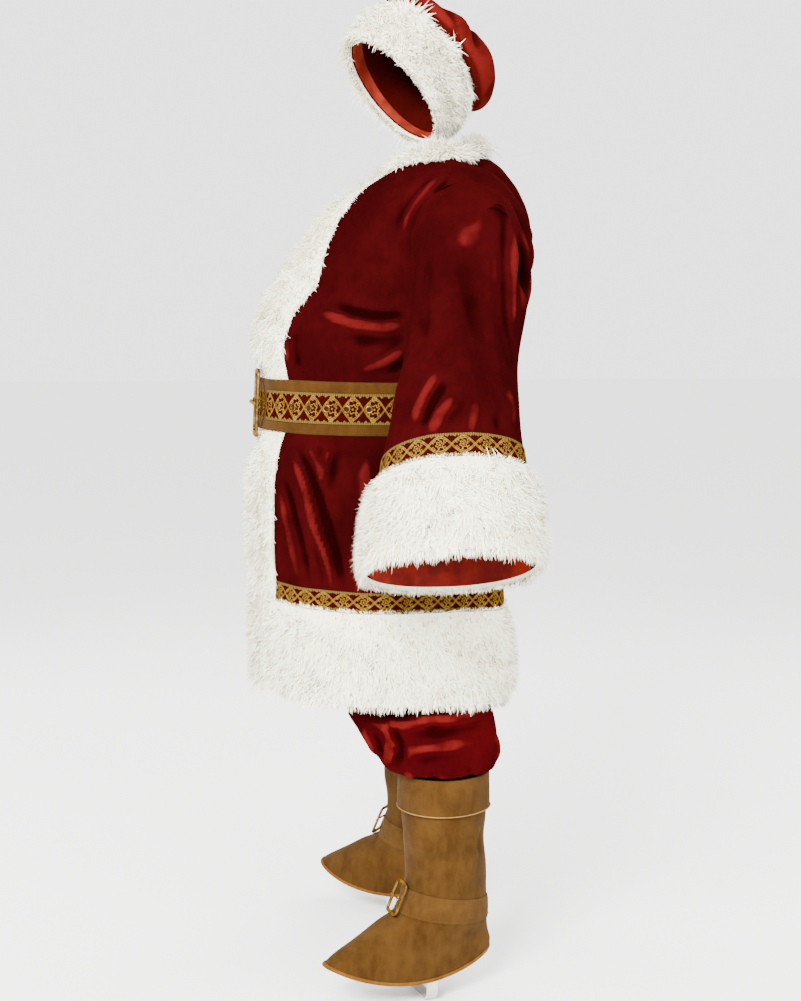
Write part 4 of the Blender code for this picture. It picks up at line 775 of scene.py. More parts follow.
def mitre_armhole():
    """Coat and sleeve share one direction where they meet, except under the arm."""
    coat = np.concatenate([front_out[LOW:, -1], back_out[LOW:, 0][::-1][1:-1]])
    sleeve = sleeve_out[0].copy()
    share = smooth((armhole[:, 2] - 1.315) / 0.05)[:, None]
    coat_way, sleeve_way = unit(coat + share * sleeve), unit(sleeve + share * coat)
    front_out[LOW:, -1] = coat_way[:YOKE_ROWS + 1]
    back_rows = np.concatenate([coat_way[YOKE_ROWS:], coat_way[:1]])[::-1]
    back_out[LOW:, 0], back_out[LOW:, -1] = back_rows, back_rows * np.array([-1, 1, 1])
    sleeve_out[0] = sleeve_way
    front_out[-1, -1] = back_out[-1, 0] = coat_way[YOKE_ROWS]
    back_out[-1, -1] = back_out[-1, 0] * np.array([-1, 1, 1])


mitre_armhole()
print("sleeve", sleeve_left.shape[:2], "grid points, cuff at",
      round(float(sleeve_left[-1, :, 2].min()), 3), "m")

# %% [markdown]
# ## Finer grids and creases
# The tables give a grid about 35 mm wide, which is enough for the form and far too coarse for cloth.
# Each grid is now read again at many more places on smooth curves. On that fine grid creases are placed
# one by one: a line seen from the side or from the front, a width and a height. One flank of a real crease
# is steeper than the other, so each line has a narrow and a wide side, and its ends fade away.

# %% Refining grids, and creases drawn on them
def rows_apart(grid):
    return np.concatenate([[0], np.cumsum(
        np.linalg.norm(np.diff(grid[..., :3], axis=0), axis=-1).mean(1) + 1e-6)])


def refined(grid, rows_each, columns_each, closed=False):
    """The same surface with each gap divided, on smooth curves; what is stacked on the points follows."""
    (rows, columns, values), keys = grid.shape, rows_apart(grid)
    at = spread(keys, rows_each)
    tall = on_curve(keys, grid.reshape(rows, -1), at).reshape(len(at), columns, values).transpose(1, 0, 2)
    if closed:
        tall = np.concatenate([tall[-2:], tall, tall[:3]])
    keys = rows_apart(tall)
    at = spread(keys[2:3 + columns] if closed else keys, columns_each)
    at = at[:-1] if closed else at
    wide = on_curve(keys, tall.reshape(len(keys), -1), at)
    return wide.reshape(len(at), -1, values).transpose(1, 0, 2)


def fine(grid, ways, each, closed=False):
    """Fine points and their directions together."""
    both = refined(np.concatenate([grid, ways], axis=-1), each, each, closed)
    return both[..., :3], unit(both[..., 3:])


def crease_lift(points, creases, plane=(1, 2)):
    """How far the listed creases lift each point. A crease is (line, width, height)."""
    flat = points[..., list(plane)]
    lift = np.zeros(flat.shape[:-1])
    for line, width, height in creases:
        line = curve_through(line, 3 * len(line))
        lengths = np.linalg.norm(np.diff(line, axis=0), axis=1)
        total, run = lengths.sum(), 0.0
        nearest, side, place = np.full(lift.shape, 9.0), np.zeros(lift.shape), np.zeros(lift.shape)
        for a, b, length in zip(line[:-1], line[1:], lengths):
            way = (b - a) / length
            along = np.clip((flat - a) @ way, 0, length)
            off = flat - (a + along[..., None] * way)
            far = np.linalg.norm(off, axis=-1)
            closer = far < nearest
            nearest = np.where(closer, far, nearest)
            side = np.where(closer, off[..., 0] * way[1] - off[..., 1] * way[0], side)
            place = np.where(closer, (run + along) / total, place)
            run += length
        wide = np.where(side > 0, 1.35, 0.75) * width
        fade = smooth(np.minimum(place, 1 - place) / 0.28) * 0.85 + 0.15
        lift += height * np.exp(-(nearest / wide) ** 2) * fade
    return lift


def crumple(points, size, height, seed):
    """Slow unevenness from a few crossing waves, so that no wide surface stays perfectly even."""
    random = np.random.default_rng(seed)
    total = np.zeros(points.shape[:-1])
    for _ in range(9):
        way = unit(random.normal(size=3)) * 2 * math.pi / (size * random.uniform(0.7, 1.8))
        total += np.sin(points @ way + random.uniform(0, 6.28))
    return total / 3 * height


print("one crease lifts its own line by", float(crease_lift(np.array([[0, 0.5, 0.0]]),
      [([(0, 0), (1, 0)], 0.01, 0.004)])[0]), "m at its middle")
# %% [markdown]
# ## Creases of the coat
# The belt gathers the coat, so long soft ridges fall from it down the skirt, and above it the cloth
# bags over the strap. From the shoulder tip three drag folds fan down over the chest. Each crease below
# is written in metres: lines on a side are (y, z), lines in front or behind are (x, z).

# %% The coat's creases
LEFT_CREASES = [
    ([(-0.018, 1.508), (-0.059, 1.468), (-0.081, 1.426), (-0.088, 1.388)], 0.008, 0.009),
    ([(-0.03, 1.522), (-0.07, 1.482), (-0.097, 1.443), (-0.11, 1.395)], 0.008, 0.008),
    ([(-0.021, 1.517), (-0.058, 1.478), (-0.084, 1.432), (-0.096, 1.38)], 0.006, -0.008),
    ([(-0.034, 1.53), (-0.078, 1.5), (-0.112, 1.455), (-0.125, 1.405)], 0.008, -0.006),
    ([(-0.262, 1.272), (-0.205, 1.255), (-0.162, 1.248), (-0.105, 1.251)], 0.011, 0.008),
    ([(-0.24, 1.29), (-0.17, 1.271), (-0.094, 1.274)], 0.011, -0.008),
    ([(-0.215, 1.225), (-0.15, 1.222), (-0.1, 1.232)], 0.016, -0.005),
    ([(-0.208, 1.158), (-0.155, 1.181), (-0.105, 1.213)], 0.009, 0.008),
    ([(-0.188, 1.15), (-0.141, 1.163), (-0.109, 1.193)], 0.008, -0.009),
    ([(-0.317, 1.285), (-0.316, 1.22), (-0.314, 1.164)], 0.006, 0.004),
    ([(-0.3, 1.25), (-0.302, 1.2), (-0.298, 1.164)], 0.007, -0.004),
    ([(-0.225, 1.372), (-0.17, 1.348), (-0.096, 1.34)], 0.018, 0.005),
    ([(-0.315, 1.03), (-0.285, 0.943), (-0.273, 0.888), (-0.253, 0.829), (-0.244, 0.762)], 0.008, 0.011),
    ([(-0.3, 1.03), (-0.264, 0.921), (-0.24, 0.84), (-0.222, 0.762)], 0.014, -0.009),
    ([(-0.288, 1.036), (-0.268, 1.005), (-0.26, 0.955)], 0.006, 0.005),
    ([(-0.241, 1.036), (-0.25, 1.01), (-0.254, 0.962)], 0.008, 0.006),
    ([(-0.336, 0.975), (-0.32, 0.874), (-0.303, 0.77)], 0.007, 0.005),
    ([(-0.33, 0.99), (-0.304, 0.878), (-0.281, 0.765)], 0.007, -0.006),
    ([(-0.209, 0.85), (-0.196, 0.758)], 0.008, 0.005),
    ([(-0.181, 1.036), (-0.186, 0.931), (-0.168, 0.8)], 0.014, 0.008),
    ([(-0.15, 1.036), (-0.141, 0.893), (-0.131, 0.757)], 0.016, -0.009),
    ([(-0.1, 1.036), (-0.09, 0.93), (-0.06, 0.8)], 0.015, 0.009),
    ([(-0.04, 1.036), (-0.024, 0.9), (-0.01, 0.77)], 0.014, -0.008),
    ([(0.03, 1.036), (0.04, 0.91), (0.062, 0.76)], 0.013, 0.009),
    ([(0.082, 1.036), (0.096, 0.9), (0.104, 0.77)], 0.012, -0.007),
    ([(-0.02, 1.17), (0.05, 1.2), (0.11, 1.19)], 0.014, 0.007),
    ([(0.000, 1.235), (0.07, 1.225), (0.13, 1.24)], 0.014, -0.006)]
RIGHT_CREASES = [
    ([(-0.016, 1.51), (-0.05, 1.462), (-0.074, 1.412), (-0.08, 1.37)], 0.009, 0.009),
    ([(-0.034, 1.52), (-0.08, 1.474), (-0.108, 1.42)], 0.008, 0.007),
    ([(-0.024, 1.515), (-0.064, 1.468), (-0.09, 1.416), (-0.098, 1.36)], 0.007, -0.008),
    ([(-0.25, 1.262), (-0.19, 1.24), (-0.12, 1.246)], 0.012, 0.008),
    ([(-0.236, 1.3), (-0.18, 1.284), (-0.11, 1.29)], 0.013, -0.007),
    ([(-0.214, 1.166), (-0.15, 1.19), (-0.085, 1.205)], 0.01, 0.008),
    ([(-0.19, 1.156), (-0.14, 1.17), (-0.1, 1.186)], 0.009, -0.008),
    ([(-0.308, 1.29), (-0.31, 1.23), (-0.306, 1.164)], 0.007, 0.004),
    ([(-0.31, 1.034), (-0.292, 0.96), (-0.262, 0.86), (-0.25, 0.765)], 0.009, 0.01),
    ([(-0.292, 1.03), (-0.27, 0.93), (-0.236, 0.83), (-0.226, 0.762)], 0.013, -0.008),
    ([(-0.244, 1.036), (-0.236, 0.99), (-0.238, 0.93)], 0.009, 0.006),
    ([(-0.2, 1.036), (-0.186, 0.9), (-0.192, 0.79)], 0.015, 0.008),
    ([(-0.15, 1.036), (-0.156, 0.91), (-0.142, 0.76)], 0.014, -0.009),
    ([(-0.11, 1.036), (-0.092, 0.92), (-0.086, 0.76)], 0.013, 0.008),
    ([(-0.05, 1.036), (-0.046, 0.9), (-0.02, 0.765)], 0.015, -0.008),
    ([(0.014, 1.036), (0.034, 0.91), (0.04, 0.76)], 0.014, 0.009),
    ([(0.076, 1.036), (0.082, 0.9), (0.098, 0.765)], 0.012, -0.007),
    ([(-0.03, 1.176), (0.04, 1.19), (0.11, 1.184)], 0.013, 0.007)]
BACK_CREASES = [
    ([(-0.19, 1.18), (-0.08, 1.166), (0.03, 1.176)], 0.013, 0.009),
    ([(-0.06, 1.21), (0.06, 1.196), (0.18, 1.208)], 0.015, 0.008),
    ([(-0.15, 1.232), (-0.02, 1.226), (0.1, 1.24)], 0.014, -0.007),
    ([(0.19, 1.43), (0.12, 1.4), (0.06, 1.33)], 0.018, 0.007),
    ([(-0.19, 1.43), (-0.13, 1.39), (-0.07, 1.325)], 0.017, 0.007),
    ([(0.17, 1.39), (0.11, 1.35), (0.07, 1.29)], 0.016, -0.006),
    ([(-0.172, 1.38), (-0.12, 1.345), (-0.08, 1.29)], 0.016, -0.006),
    ([(-0.15, 1.036), (-0.165, 0.9), (-0.172, 0.77)], 0.013, 0.009),
    ([(-0.11, 1.036), (-0.118, 0.89), (-0.112, 0.76)], 0.013, -0.008),
    ([(-0.066, 1.036), (-0.07, 0.93), (-0.078, 0.79)], 0.012, 0.009),
    ([(-0.02, 1.036), (-0.026, 0.9), (-0.018, 0.76)], 0.014, -0.009),
    ([(0.028, 1.036), (0.034, 0.91), (0.04, 0.775)], 0.012, 0.01),
    ([(0.076, 1.036), (0.082, 0.9), (0.094, 0.765)], 0.013, -0.008),
    ([(0.118, 1.036), (0.13, 0.92), (0.138, 0.78)], 0.012, 0.008),
    ([(0.164, 1.036), (0.176, 0.9), (0.186, 0.77)], 0.012, -0.007)]


def creased(points, ways, seed):
    """The coat's points with its creases, which die out under the belt."""
    x, y, z = points[..., 0], points[..., 1], points[..., 2]
    lift = smooth(x / 0.05) * crease_lift(points, LEFT_CREASES)
    lift += smooth(-x / 0.05) * crease_lift(points, RIGHT_CREASES)
    lift *= 1 - smooth((y - 0.06) / 0.04)
    lift += smooth((y - 0.06) / 0.04) * crease_lift(points, BACK_CREASES, (0, 2))
    lift += crumple(points, 0.13, 0.0016, seed) + crumple(points, 0.045, 0.0004, seed + 1)
    free = smooth((1.042 - z) / 0.03) + smooth((z - 1.156) / 0.03)
    return points + ways * (lift * free)[..., None]


EACH = 8
coat_front, coat_front_ways = fine(front_left, front_out, EACH)
coat_back, coat_back_ways = fine(back_whole, back_out, EACH)
coat_right, coat_right_ways = mirrored(coat_front), mirrored(coat_front_ways)


def flat_size(grid, closed=False):
    """Measures a cut's width, length and area on the cloth before it is creased; nothing is returned."""
    grid = np.concatenate([grid, grid[:, :1]], axis=1) if closed else grid
    width = np.linalg.norm(np.diff(grid, axis=1), axis=-1).sum(1).max()
    length = np.linalg.norm(np.diff(grid, axis=0), axis=-1).sum(0).max()
    width, length = round(float(width), 3), round(float(length), 3)
    round(min(grid_area(grid), width * length), 5)


def add_cloth(name, points, ways, finish, thick=VELVET, closed=False, uv=None):
    """A thin closed wall of cloth inside its outer points."""
    return add_wall(name, points, points - thick * ways, finish, closed=closed, uv=uv)


for name, grid in (("coat_front_left", coat_front), ("coat_front_right", coat_right),
                   ("coat_back", coat_back)):
    flat_size(grid)
coat_front, coat_right = creased(coat_front, coat_front_ways, 3), creased(coat_right, coat_right_ways, 3)
coat_back = creased(coat_back, coat_back_ways, 3)
for name, grid, ways in (("coat_front_left", coat_front, coat_front_ways),
                         ("coat_front_right", coat_right, coat_right_ways),
                         ("coat_back", coat_back, coat_back_ways)):
    add_cloth(name, grid, ways, COAT_VELVET)

# %% [markdown]
# The sleeves hang bent, so a few long ridges run down the outside and short ones gather inside the
# elbow and above the cuff. A seam is a fine groove: it lies on each armhole by itself, because coat and
# sleeve are walls of their own with a hair's gap between them.

# %% Sleeves with their creases
LEFT_SLEEVE = [
    ([(0.073, 1.412), (0.064, 1.314), (0.058, 1.225)], 0.007, 0.007),
    ([(0.06, 1.436), (0.049, 1.356), (0.044, 1.271)], 0.009, -0.006),
    ([(0.026, 1.335), (0.046, 1.25), (0.06, 1.14)], 0.016, -0.007),
    ([(-0.05, 1.36), (-0.044, 1.234), (-0.024, 1.105)], 0.02, 0.006),
    ([(-0.012, 1.33), (0.001, 1.206), (0.018, 1.088)], 0.02, -0.006),
    ([(-0.084, 1.172), (-0.111, 1.128), (-0.132, 1.08)], 0.007, 0.008),
    ([(-0.058, 1.132), (-0.087, 1.1), (-0.106, 1.068)], 0.007, 0.007),
    ([(-0.07, 1.158), (-0.101, 1.117), (-0.122, 1.073)], 0.006, -0.008),
    ([(-0.012, 1.484), (-0.024, 1.435), (-0.034, 1.366)], 0.022, 0.005),
    ([(-0.078, 1.39), (-0.093, 1.291), (-0.104, 1.206)], 0.012, -0.006),
    ([(0.03, 1.15), (0.04, 1.11), (0.036, 1.068)], 0.009, 0.006),
    ([(0.002, 1.14), (0.008, 1.1), (0.004, 1.064)], 0.01, -0.005),
    ([(-0.03, 1.125), (-0.036, 1.095), (-0.044, 1.064)], 0.009, 0.005)]
RIGHT_SLEEVE = [
    ([(0.07, 1.4), (0.058, 1.3), (0.062, 1.215)], 0.009, 0.007),
    ([(0.052, 1.42), (0.044, 1.33), (0.04, 1.25)], 0.01, -0.006),
    ([(0.018, 1.35), (0.036, 1.25), (0.046, 1.13)], 0.017, -0.007),
    ([(-0.04, 1.37), (-0.036, 1.25), (-0.012, 1.12)], 0.02, 0.006),
    ([(-0.08, 1.19), (-0.104, 1.136), (-0.13, 1.086)], 0.008, 0.008),
    ([(-0.052, 1.14), (-0.08, 1.104), (-0.1, 1.068)], 0.008, 0.007),
    ([(-0.066, 1.166), (-0.094, 1.12), (-0.118, 1.076)], 0.007, -0.008),
    ([(-0.074, 1.396), (-0.088, 1.3), (-0.1, 1.216)], 0.013, -0.006),
    ([(0.026, 1.156), (0.036, 1.11), (0.03, 1.068)], 0.009, 0.006)]
INNER_SLEEVE = [
    ([(-0.08, 1.25), (-0.04, 1.2), (0.01, 1.18)], 0.012, -0.006),
    ([(-0.09, 1.215), (-0.05, 1.165), (0.000, 1.14)], 0.011, -0.006),
    ([(0.000, 1.12), (0.02, 1.06), (0.02, 1.000)], 0.014, 0.005)]


def creased_sleeve(points, ways, side, creases):
    outside = smooth((ways[..., 0] * side + 0.25) / 0.4)
    lift = outside * crease_lift(points, creases) + (1 - outside) * crease_lift(points, INNER_SLEEVE)
    lift += crumple(points, 0.11, 0.0016, 11)
    start = smooth(np.linspace(0, 1, len(points)) / 0.1)[:, None]
    calm = start * (1 - 0.85 * smooth((1.09 - points[..., 2]) / 0.05))
    return points + ways * (np.maximum(lift, -0.006) * calm)[..., None]


sleeve, sleeve_ways = fine(sleeve_left, sleeve_out, EACH, closed=True)
low = smooth((1.35 - sleeve[0, :, 2]) / 0.035)[:, None]
sleeve[0] += unit(sleeve[1] - sleeve[0]) * SEAM_GAP * 1.5 + low * np.array([0.0024, 0, 0])
sleeves = {"left": (sleeve, sleeve_ways), "right": (mirrored(sleeve), mirrored(sleeve_ways))}
for side, (grid, ways) in sleeves.items():
    flat_size(grid, True)
    sign, lines = (1, LEFT_SLEEVE) if side == "left" else (-1, RIGHT_SLEEVE)
    grid = creased_sleeve(grid, ways, sign, lines)
    sleeves[side] = (grid, ways)
    add_cloth(f"coat_sleeve_{side}", grid[::-1], ways[::-1], COAT_VELVET, closed=True)

# %% [markdown]
# ## Fur
# The fur is long white pile on a knitted ground. Hair particles would look right but don't travel with
# a mesh, so each tuft here is one narrow pointed blade with a bend in it. Tufts are scattered evenly by
# area, lean together in soft patches, and droop a little. Under them lies a rounded roll of short pile,
# so that no gap ever shows the cloth. A tuft's own number and its length go into the UV map.

# %% Growing fur on a grid
def scattered(grid, extra, count, random):
    """Random spots on a grid, spread evenly by area, with what else is stored at the grid points."""
    stack = np.concatenate([grid, extra], axis=-1)
    a, b, c, d = stack[:-1, :-1], stack[:-1, 1:], stack[1:, 1:], stack[1:, :-1]
    area = np.linalg.norm(np.cross((c - a)[..., :3], (d - b)[..., :3]), axis=-1).ravel()
    chosen = random.choice(len(area), count, p=area / area.sum())
    u, v = random.random((2, count, 1))
    a, b, c, d = (x.reshape(-1, stack.shape[-1])[chosen] for x in (a, b, c, d))
    return (1 - v) * ((1 - u) * a + u * b) + v * ((1 - u) * d + u * c)


def waves(points, size, seed):
    """A smooth field of directions: neighbours lean alike, tufts a few centimetres off don't."""
    random = np.random.default_rng(seed)
    field = np.zeros(points.shape)
    for axis in range(3):
        for _ in range(6):
            way = unit(random.normal(size=3)) * 2 * math.pi / (size * random.uniform(0.6, 1.8))
            field[:, axis] += np.sin(points @ way + random.uniform(0, 6.28))
    return np.clip(field / 2.4, -1, 1)


def tufts(base, ways, depth, count, seed, droop=0.42, lean=0.27, width=0.0024, closed=False, stray=0.0):
    """Points, quads and triangles of many tufts; depth says how far the pile stands out at each place."""
    random = np.random.default_rng(seed)
    if closed:
        base, ways, depth = (np.concatenate([g, g[:, :1]], axis=1) for g in (base, ways, depth))
    random_way = random.normal(size=(2, count, 3))
    spots = scattered(base, np.concatenate([ways, depth[..., None]], axis=-1), count, random)
    place, out, deep = spots[:, :3], unit(spots[:, 3:6]), spots[:, 6:7]
    tilt = lean * waves(place, 0.045, seed) + 0.26 * random_way[0]
    way = unit(0.8 * out + tilt - np.array([0, 0, droop]))
    way = unit(way + out * np.maximum(0, 0.32 - (way * out).sum(1, keepdims=True)))
    reach = np.maximum((way * out).sum(1, keepdims=True), 0.45)
    long = np.maximum(deep * random.uniform(0.72, 1.06 + stray, (count, 1)), 0.004) / reach * 0.86
    root = place + out * deep * 0.22
    bend = 0.3 * random_way[1] - np.array([0, 0, 0.35])
    middle = root + way * long * 0.5
    tip = middle + unit(way + bend * 0.8) * long * 0.5
    across = unit(np.cross(way, out + 0.3 * random_way[1]))
    facing = np.repeat(unit(out + 0.25 * np.cross(across, way) + 0.1 * random_way[0]), 5, axis=0)
    wide = across * width * random.uniform(0.6, 1.2, (count, 1))
    points = np.stack([root - wide / 2, root + wide / 2, middle + wide * 0.42, middle - wide * 0.42, tip], 1)
    first = np.arange(count)[:, None] * 5
    own = np.repeat(random.random(count), 5)
    length = np.tile([0.0, 0.0, 0.55, 0.55, 1.0], count)
    return (points.reshape(-1, 3), [first + np.array([0, 1, 2, 3]), first + np.array([3, 2, 4])],
            np.stack([own, length], 1), facing)


def add_fur(name, base, ways, depth, count, seed, node=None, closed=False, fringes=(), **how):
    """The tufts of one fur trim, longer ones that lie outward along its edges, and the roll below them."""
    node = node or name
    rows = sorted({*range(0, len(base), 3), 1, 2, len(base) - 1})
    columns = slice(0, None, 2) if closed else sorted({*range(0, base.shape[1], 3), base.shape[1] - 1})
    thin, thin_ways, thin_depth = (g[rows][:, columns] for g in (base, ways, depth))
    roll = thin + thin_ways * (thin_depth * 0.5)[..., None]
    add_wall(f"{name}_ground", roll, thin + SEAM_GAP * thin_ways, FUR_BASE, [node], closed)
    count = count
    made = [tufts(base, ways, depth, count, seed, closed=closed, **how)]
    for edge, long, share, drop in fringes:
        rows = {"inner low": (3, 5), "top": (-1, -2), "right": (-1, -2)}.get(edge, (0, 1))
        sideways = edge in ("left", "right")
        strip, strip_ways, deep = ((g[:, rows] if sideways else g[list(rows)]) for g in (base, ways, depth))
        outer, inner = (strip[:, 0], strip[:, 1]) if sideways else (strip[0], strip[1])
        toward = unit(outer - inner)
        lying = unit(strip_ways * (-0.45 if edge == "under" else 1)
                     + 1.1 * (toward[:, None] if sideways else toward[None]))
        made.append(tufts(strip, lying, long * deep / deep.max(), int(count * share), seed + 7 + len(made),
                          droop=drop, lean=0.3, width=0.0015, closed=closed))
    starts = np.cumsum([0] + [len(m[0]) for m in made[:-1]])
    faces = [np.concatenate([m[1][k] + start for m, start in zip(made, starts)]) for k in (0, 1)]
    points, uv, facing = (np.concatenate([m[k] for m in made]) for k in (0, 2, 3))
    mesh = new_mesh(name, points, faces, uv)
    mesh.normals_split_custom_set_from_vertices(facing)
    return add_piece(name, mesh, IVORY_FUR, [node])


def rolled(section, rows, each):
    """The pile's depth up a trim, read smoothly from a few values."""
    keys = np.linspace(0, 1, len(section))
    return np.maximum(on_curve(keys, section, np.linspace(0, 1, (rows - 1) * each + 1)), 0.05)


print("a tuft has 5 points and 3 triangles")

# %% [markdown]
# The hem and both cuffs carry a fur band 160 to 170 mm deep, with a woven braid above it. The braid's
# UV runs along the trim and up its width in metres, so its vine has the same repeat everywhere.

# %% Hem
HEM_ROLL, CUFF_ROLL = 0.01, 0.01
HEM_SECTION, CUFF_SECTION = [0.45, 0.95, 1.04, 1.04, 0.9, 0.35], [0.35, 0.9, 1.04, 0.95, 0.45]
BAND_SECTION = [1.0, 1.05, 0.98, 0.35]


def body_strip(first, last):
    """Fine rows all round the body between the bands, from the left band's edge round to the right."""
    rows, band = slice(first * EACH, last * EACH + 1), BAND_COLUMNS * EACH
    points = [coat_front[rows, band:], coat_back[rows, 1:], coat_right[rows, 1:-band]]
    ways = [coat_front_ways[rows, band:], coat_back_ways[rows, 1:], coat_right_ways[rows, 1:-band]]
    return np.concatenate(points, axis=1), np.concatenate(ways, axis=1)


def clear_ends(grid, gap=0.0006):
    grid = grid.copy()
    grid[:, 0] += gap * unit(grid[:, 1] - grid[:, 0])
    grid[:, -1] += gap * unit(grid[:, -2] - grid[:, -1])
    return grid


def braid_uv(grid, half_width):
    """u runs along the braid and v across it, from 0 to twice the half width."""
    along = metres(grid)[..., 0]
    across = np.linspace(0, 2 * half_width, len(grid))[:, None] + np.zeros_like(along)
    return np.stack([along, across], axis=-1)


def add_braid(name, points, ways, finish, half_width, closed=False):
    lying = points + SEAM_GAP * ways
    ring = np.concatenate([lying, lying[:, :1]], axis=1) if closed else lying
    return add_wall(name, lying + BRAID * ways, lying, finish, closed=closed,
                    uv=braid_uv(ring, half_width))


row_of = BODY_LEVELS.index
points, ways = body_strip(row_of(BRAID_BOTTOM), row_of(BRAID_TOP))
add_braid("hem_braid", clear_ends(points), ways, TRIM_BRAID, 0.0205)
points, ways = body_strip(0, row_of(FUR_TOP))
down = unit(points[0] - points[3])
roll_rows = [(points[0] + HEM_ROLL * share * down)[None] for share in (1, 0.5)]
points = np.concatenate([*roll_rows, points])
ways = np.concatenate([ways[:1], ways[:1], ways])
height = np.interp(rows_apart(points) / rows_apart(points)[-1],
                   np.linspace(0, 1, 11), rolled(HEM_SECTION, 3, 5)) * FUR_DEPTH
hem = add_fur("hem_fur", clear_ends(points), ways, height[:, None] + np.zeros(points.shape[:2]), 18800, 21,
              fringes=[("low", 0.017, 0.06, 1.3), ("inner low", 0.021, 0.05, 1.5), ("top", 0.011, 0.09, 0.1)])
print("hem fur:", len(hem.data.polygons), "faces")

# %% Front bands, flattened under the belt
press = np.ones(len(BODY_LEVELS) + YOKE_ROWS)
press[row_of(BELT_BOTTOM) - 1], press[row_of(BELT_TOP) + 1] = 0.26, 0.3
press[row_of(BELT_BOTTOM):row_of(BELT_TOP) + 1] = 0.26
BAND_TOP_ROW = len(BODY_LEVELS) + YOKE_ROWS - 3
rows = np.arange(BAND_TOP_ROW * EACH + 1) / EACH
pressed = np.interp(rows, np.arange(len(press)), press)
across = on_curve(np.arange(4), BAND_SECTION, np.arange(BAND_COLUMNS * EACH + 1) / EACH)
height = FUR_DEPTH * pressed[:, None] * across[None, :]
band = coat_front[:len(rows), :len(across)].copy()
band[0] -= HEM_ROLL * unit(band[1] - band[0])
band_ways = coat_front_ways[:len(rows), :len(across)]
band[:, 0] += SEAM_GAP * np.array([1, 0, 0])
add_fur("front_fur_left", band, band_ways, height, 12000, 22, fringes=[("right", 0.012, 0.14, 0.3)])
add_fur("front_fur_right", mirrored(band), mirrored(band_ways), height[:, ::-1], 12000, 23,
        fringes=[("left", 0.012, 0.14, 0.3)])
print("front bands:", round(float(rows_apart(band)[-1]), 3), "m long")

# %% Cuffs and the satin that shows inside them
step_of = SLEEVE_STEPS.index
cuff_rows = np.linspace(0, 1, (len(SLEEVE_STEPS) - 1 - step_of(CUFF_FUR_FROM)) * EACH + 3)
for side, (grid, ways) in sleeves.items():
    lining = slice(step_of(CUFF_BRAID_TO) * EACH, None)
    inside = grid[lining] - (VELVET + SEAM_GAP) * ways[lining]
    flat_size(inside, True)
    turn = np.linspace(0, 2 * math.pi, inside.shape[1], endpoint=False)
    pucker = 0.0016 * np.sin(13 * turn + 2 * np.sin(3 * turn)) + 0.0006 * np.sin(29 * turn)
    inside = inside - ways[lining] * (0.0022 + pucker * np.linspace(0.1, 1, len(inside))[:, None])[..., None]
    add_cloth(f"sleeve_lining_{side}", inside[::-1], ways[lining][::-1], SATIN_LINING, SATIN, True)
    part = slice(step_of(CUFF_BRAID_FROM) * EACH, step_of(CUFF_BRAID_TO) * EACH + 1)
    add_braid(f"cuff_braid_{side}", grid[part][::-1], ways[part][::-1], TRIM_BRAID, 0.0205, closed=True)
    first = step_of(CUFF_FUR_FROM) * EACH
    down = unit(grid[-1] - grid[-4])
    roll_rows = [(grid[-1] + down * CUFF_ROLL * share)[None] for share in (0.5, 1)]
    base = np.concatenate([grid[first:], *roll_rows])
    out = np.concatenate([ways[first:], ways[-1:], ways[-1:]])
    around = np.linspace(0, 2 * math.pi, grid.shape[1], endpoint=False)
    around = around if side == "left" else around[::-1]
    toward_body = 1 - 0.45 * smooth((np.cos(around) - 0.25) / 0.6)
    section = np.interp(cuff_rows, np.linspace(0, 1, len(CUFF_SECTION)), CUFF_SECTION)
    height = FUR_DEPTH * section[:, None] * toward_body[None, :]
    add_fur(f"cuff_fur_{side}", base[::-1], out[::-1], height[::-1], 13600, 24 + (side == "right"), closed=True,
            fringes=[("low", 0.018, 0.08, 1.3), ("inner low", 0.022, 0.06, 1.5), ("under", 0.012, 0.1, 0.3),
                     ("top", 0.011, 0.07, 0.1)])

# %% [markdown]
# The collar is a roll of the same fur that lies on the shoulders round the neckline, a little wider in
# front. It rests on the coat, so its underside is found by dropping points onto the coat's surface.

# %% Collar
COLLAR_SIDES, COLLAR_CLEAR, COLLAR_WIDER_FRONT = 96, 0.0012, 0.48
COLLAR_SECTION = [("neck edge", 0.001, 0.026), ("crown", 0.012, 0.032), ("fall", 0.024, 0.027),
                  ("outer edge", 0.034, 0.013)]
creased_surface = surface_of(coat_front, coat_back, coat_right)
outs = np.linspace(COLLAR_SECTION[0][1], COLLAR_SECTION[-1][1], 13)
collar, collar_height = [], []
for out in outs:
    ring = []
    for k in range(COLLAR_SIDES):
        angle = 2 * math.pi * k / COLLAR_SIDES
        way = np.array([math.sin(angle), -math.cos(angle), 0])
        spot = neckline_point(math.degrees(angle)) + way * out * (1 + COLLAR_WIDER_FRONT * math.cos(angle))
        hit = creased_surface.ray_cast(Vector((spot[0], spot[1], 1.75)), Vector((0, 0, -1)))[0]
        ring.append([spot[0], spot[1], (hit.z if hit else spot[2]) + COLLAR_CLEAR])
    collar.append(ring)
    collar_height.append(np.interp(out, [r[1] for r in COLLAR_SECTION], [r[2] for r in COLLAR_SECTION]))
collar = np.array(collar)[::-1]
for _ in range(3):
    level = collar[:, :, 2]
    collar[:, :, 2] = np.maximum(level, (np.roll(level, 1, 1) + np.roll(level, -1, 1)) / 2)
angles = np.linspace(0, 2 * math.pi, COLLAR_SIDES, endpoint=False)
outward = np.stack([np.sin(angles), -np.cos(angles), np.zeros(COLLAR_SIDES)], axis=1)
collar_ways = unit(outward[None] * np.linspace(0.9, 0.1, len(outs))[:, None, None] + np.array([0, 0, 1.0]))
height = np.array(collar_height)[::-1][:, None] + np.zeros(collar.shape[:2])
add_fur("collar_fur", collar, collar_ways, height, 10500, 31, closed=True, droop=0.2,
        fringes=[("low", 0.014, 0.12, 0.3)])
print("collar round:", round(float(np.linalg.norm(np.diff(collar[6], axis=0), axis=1).sum()), 3), "m")
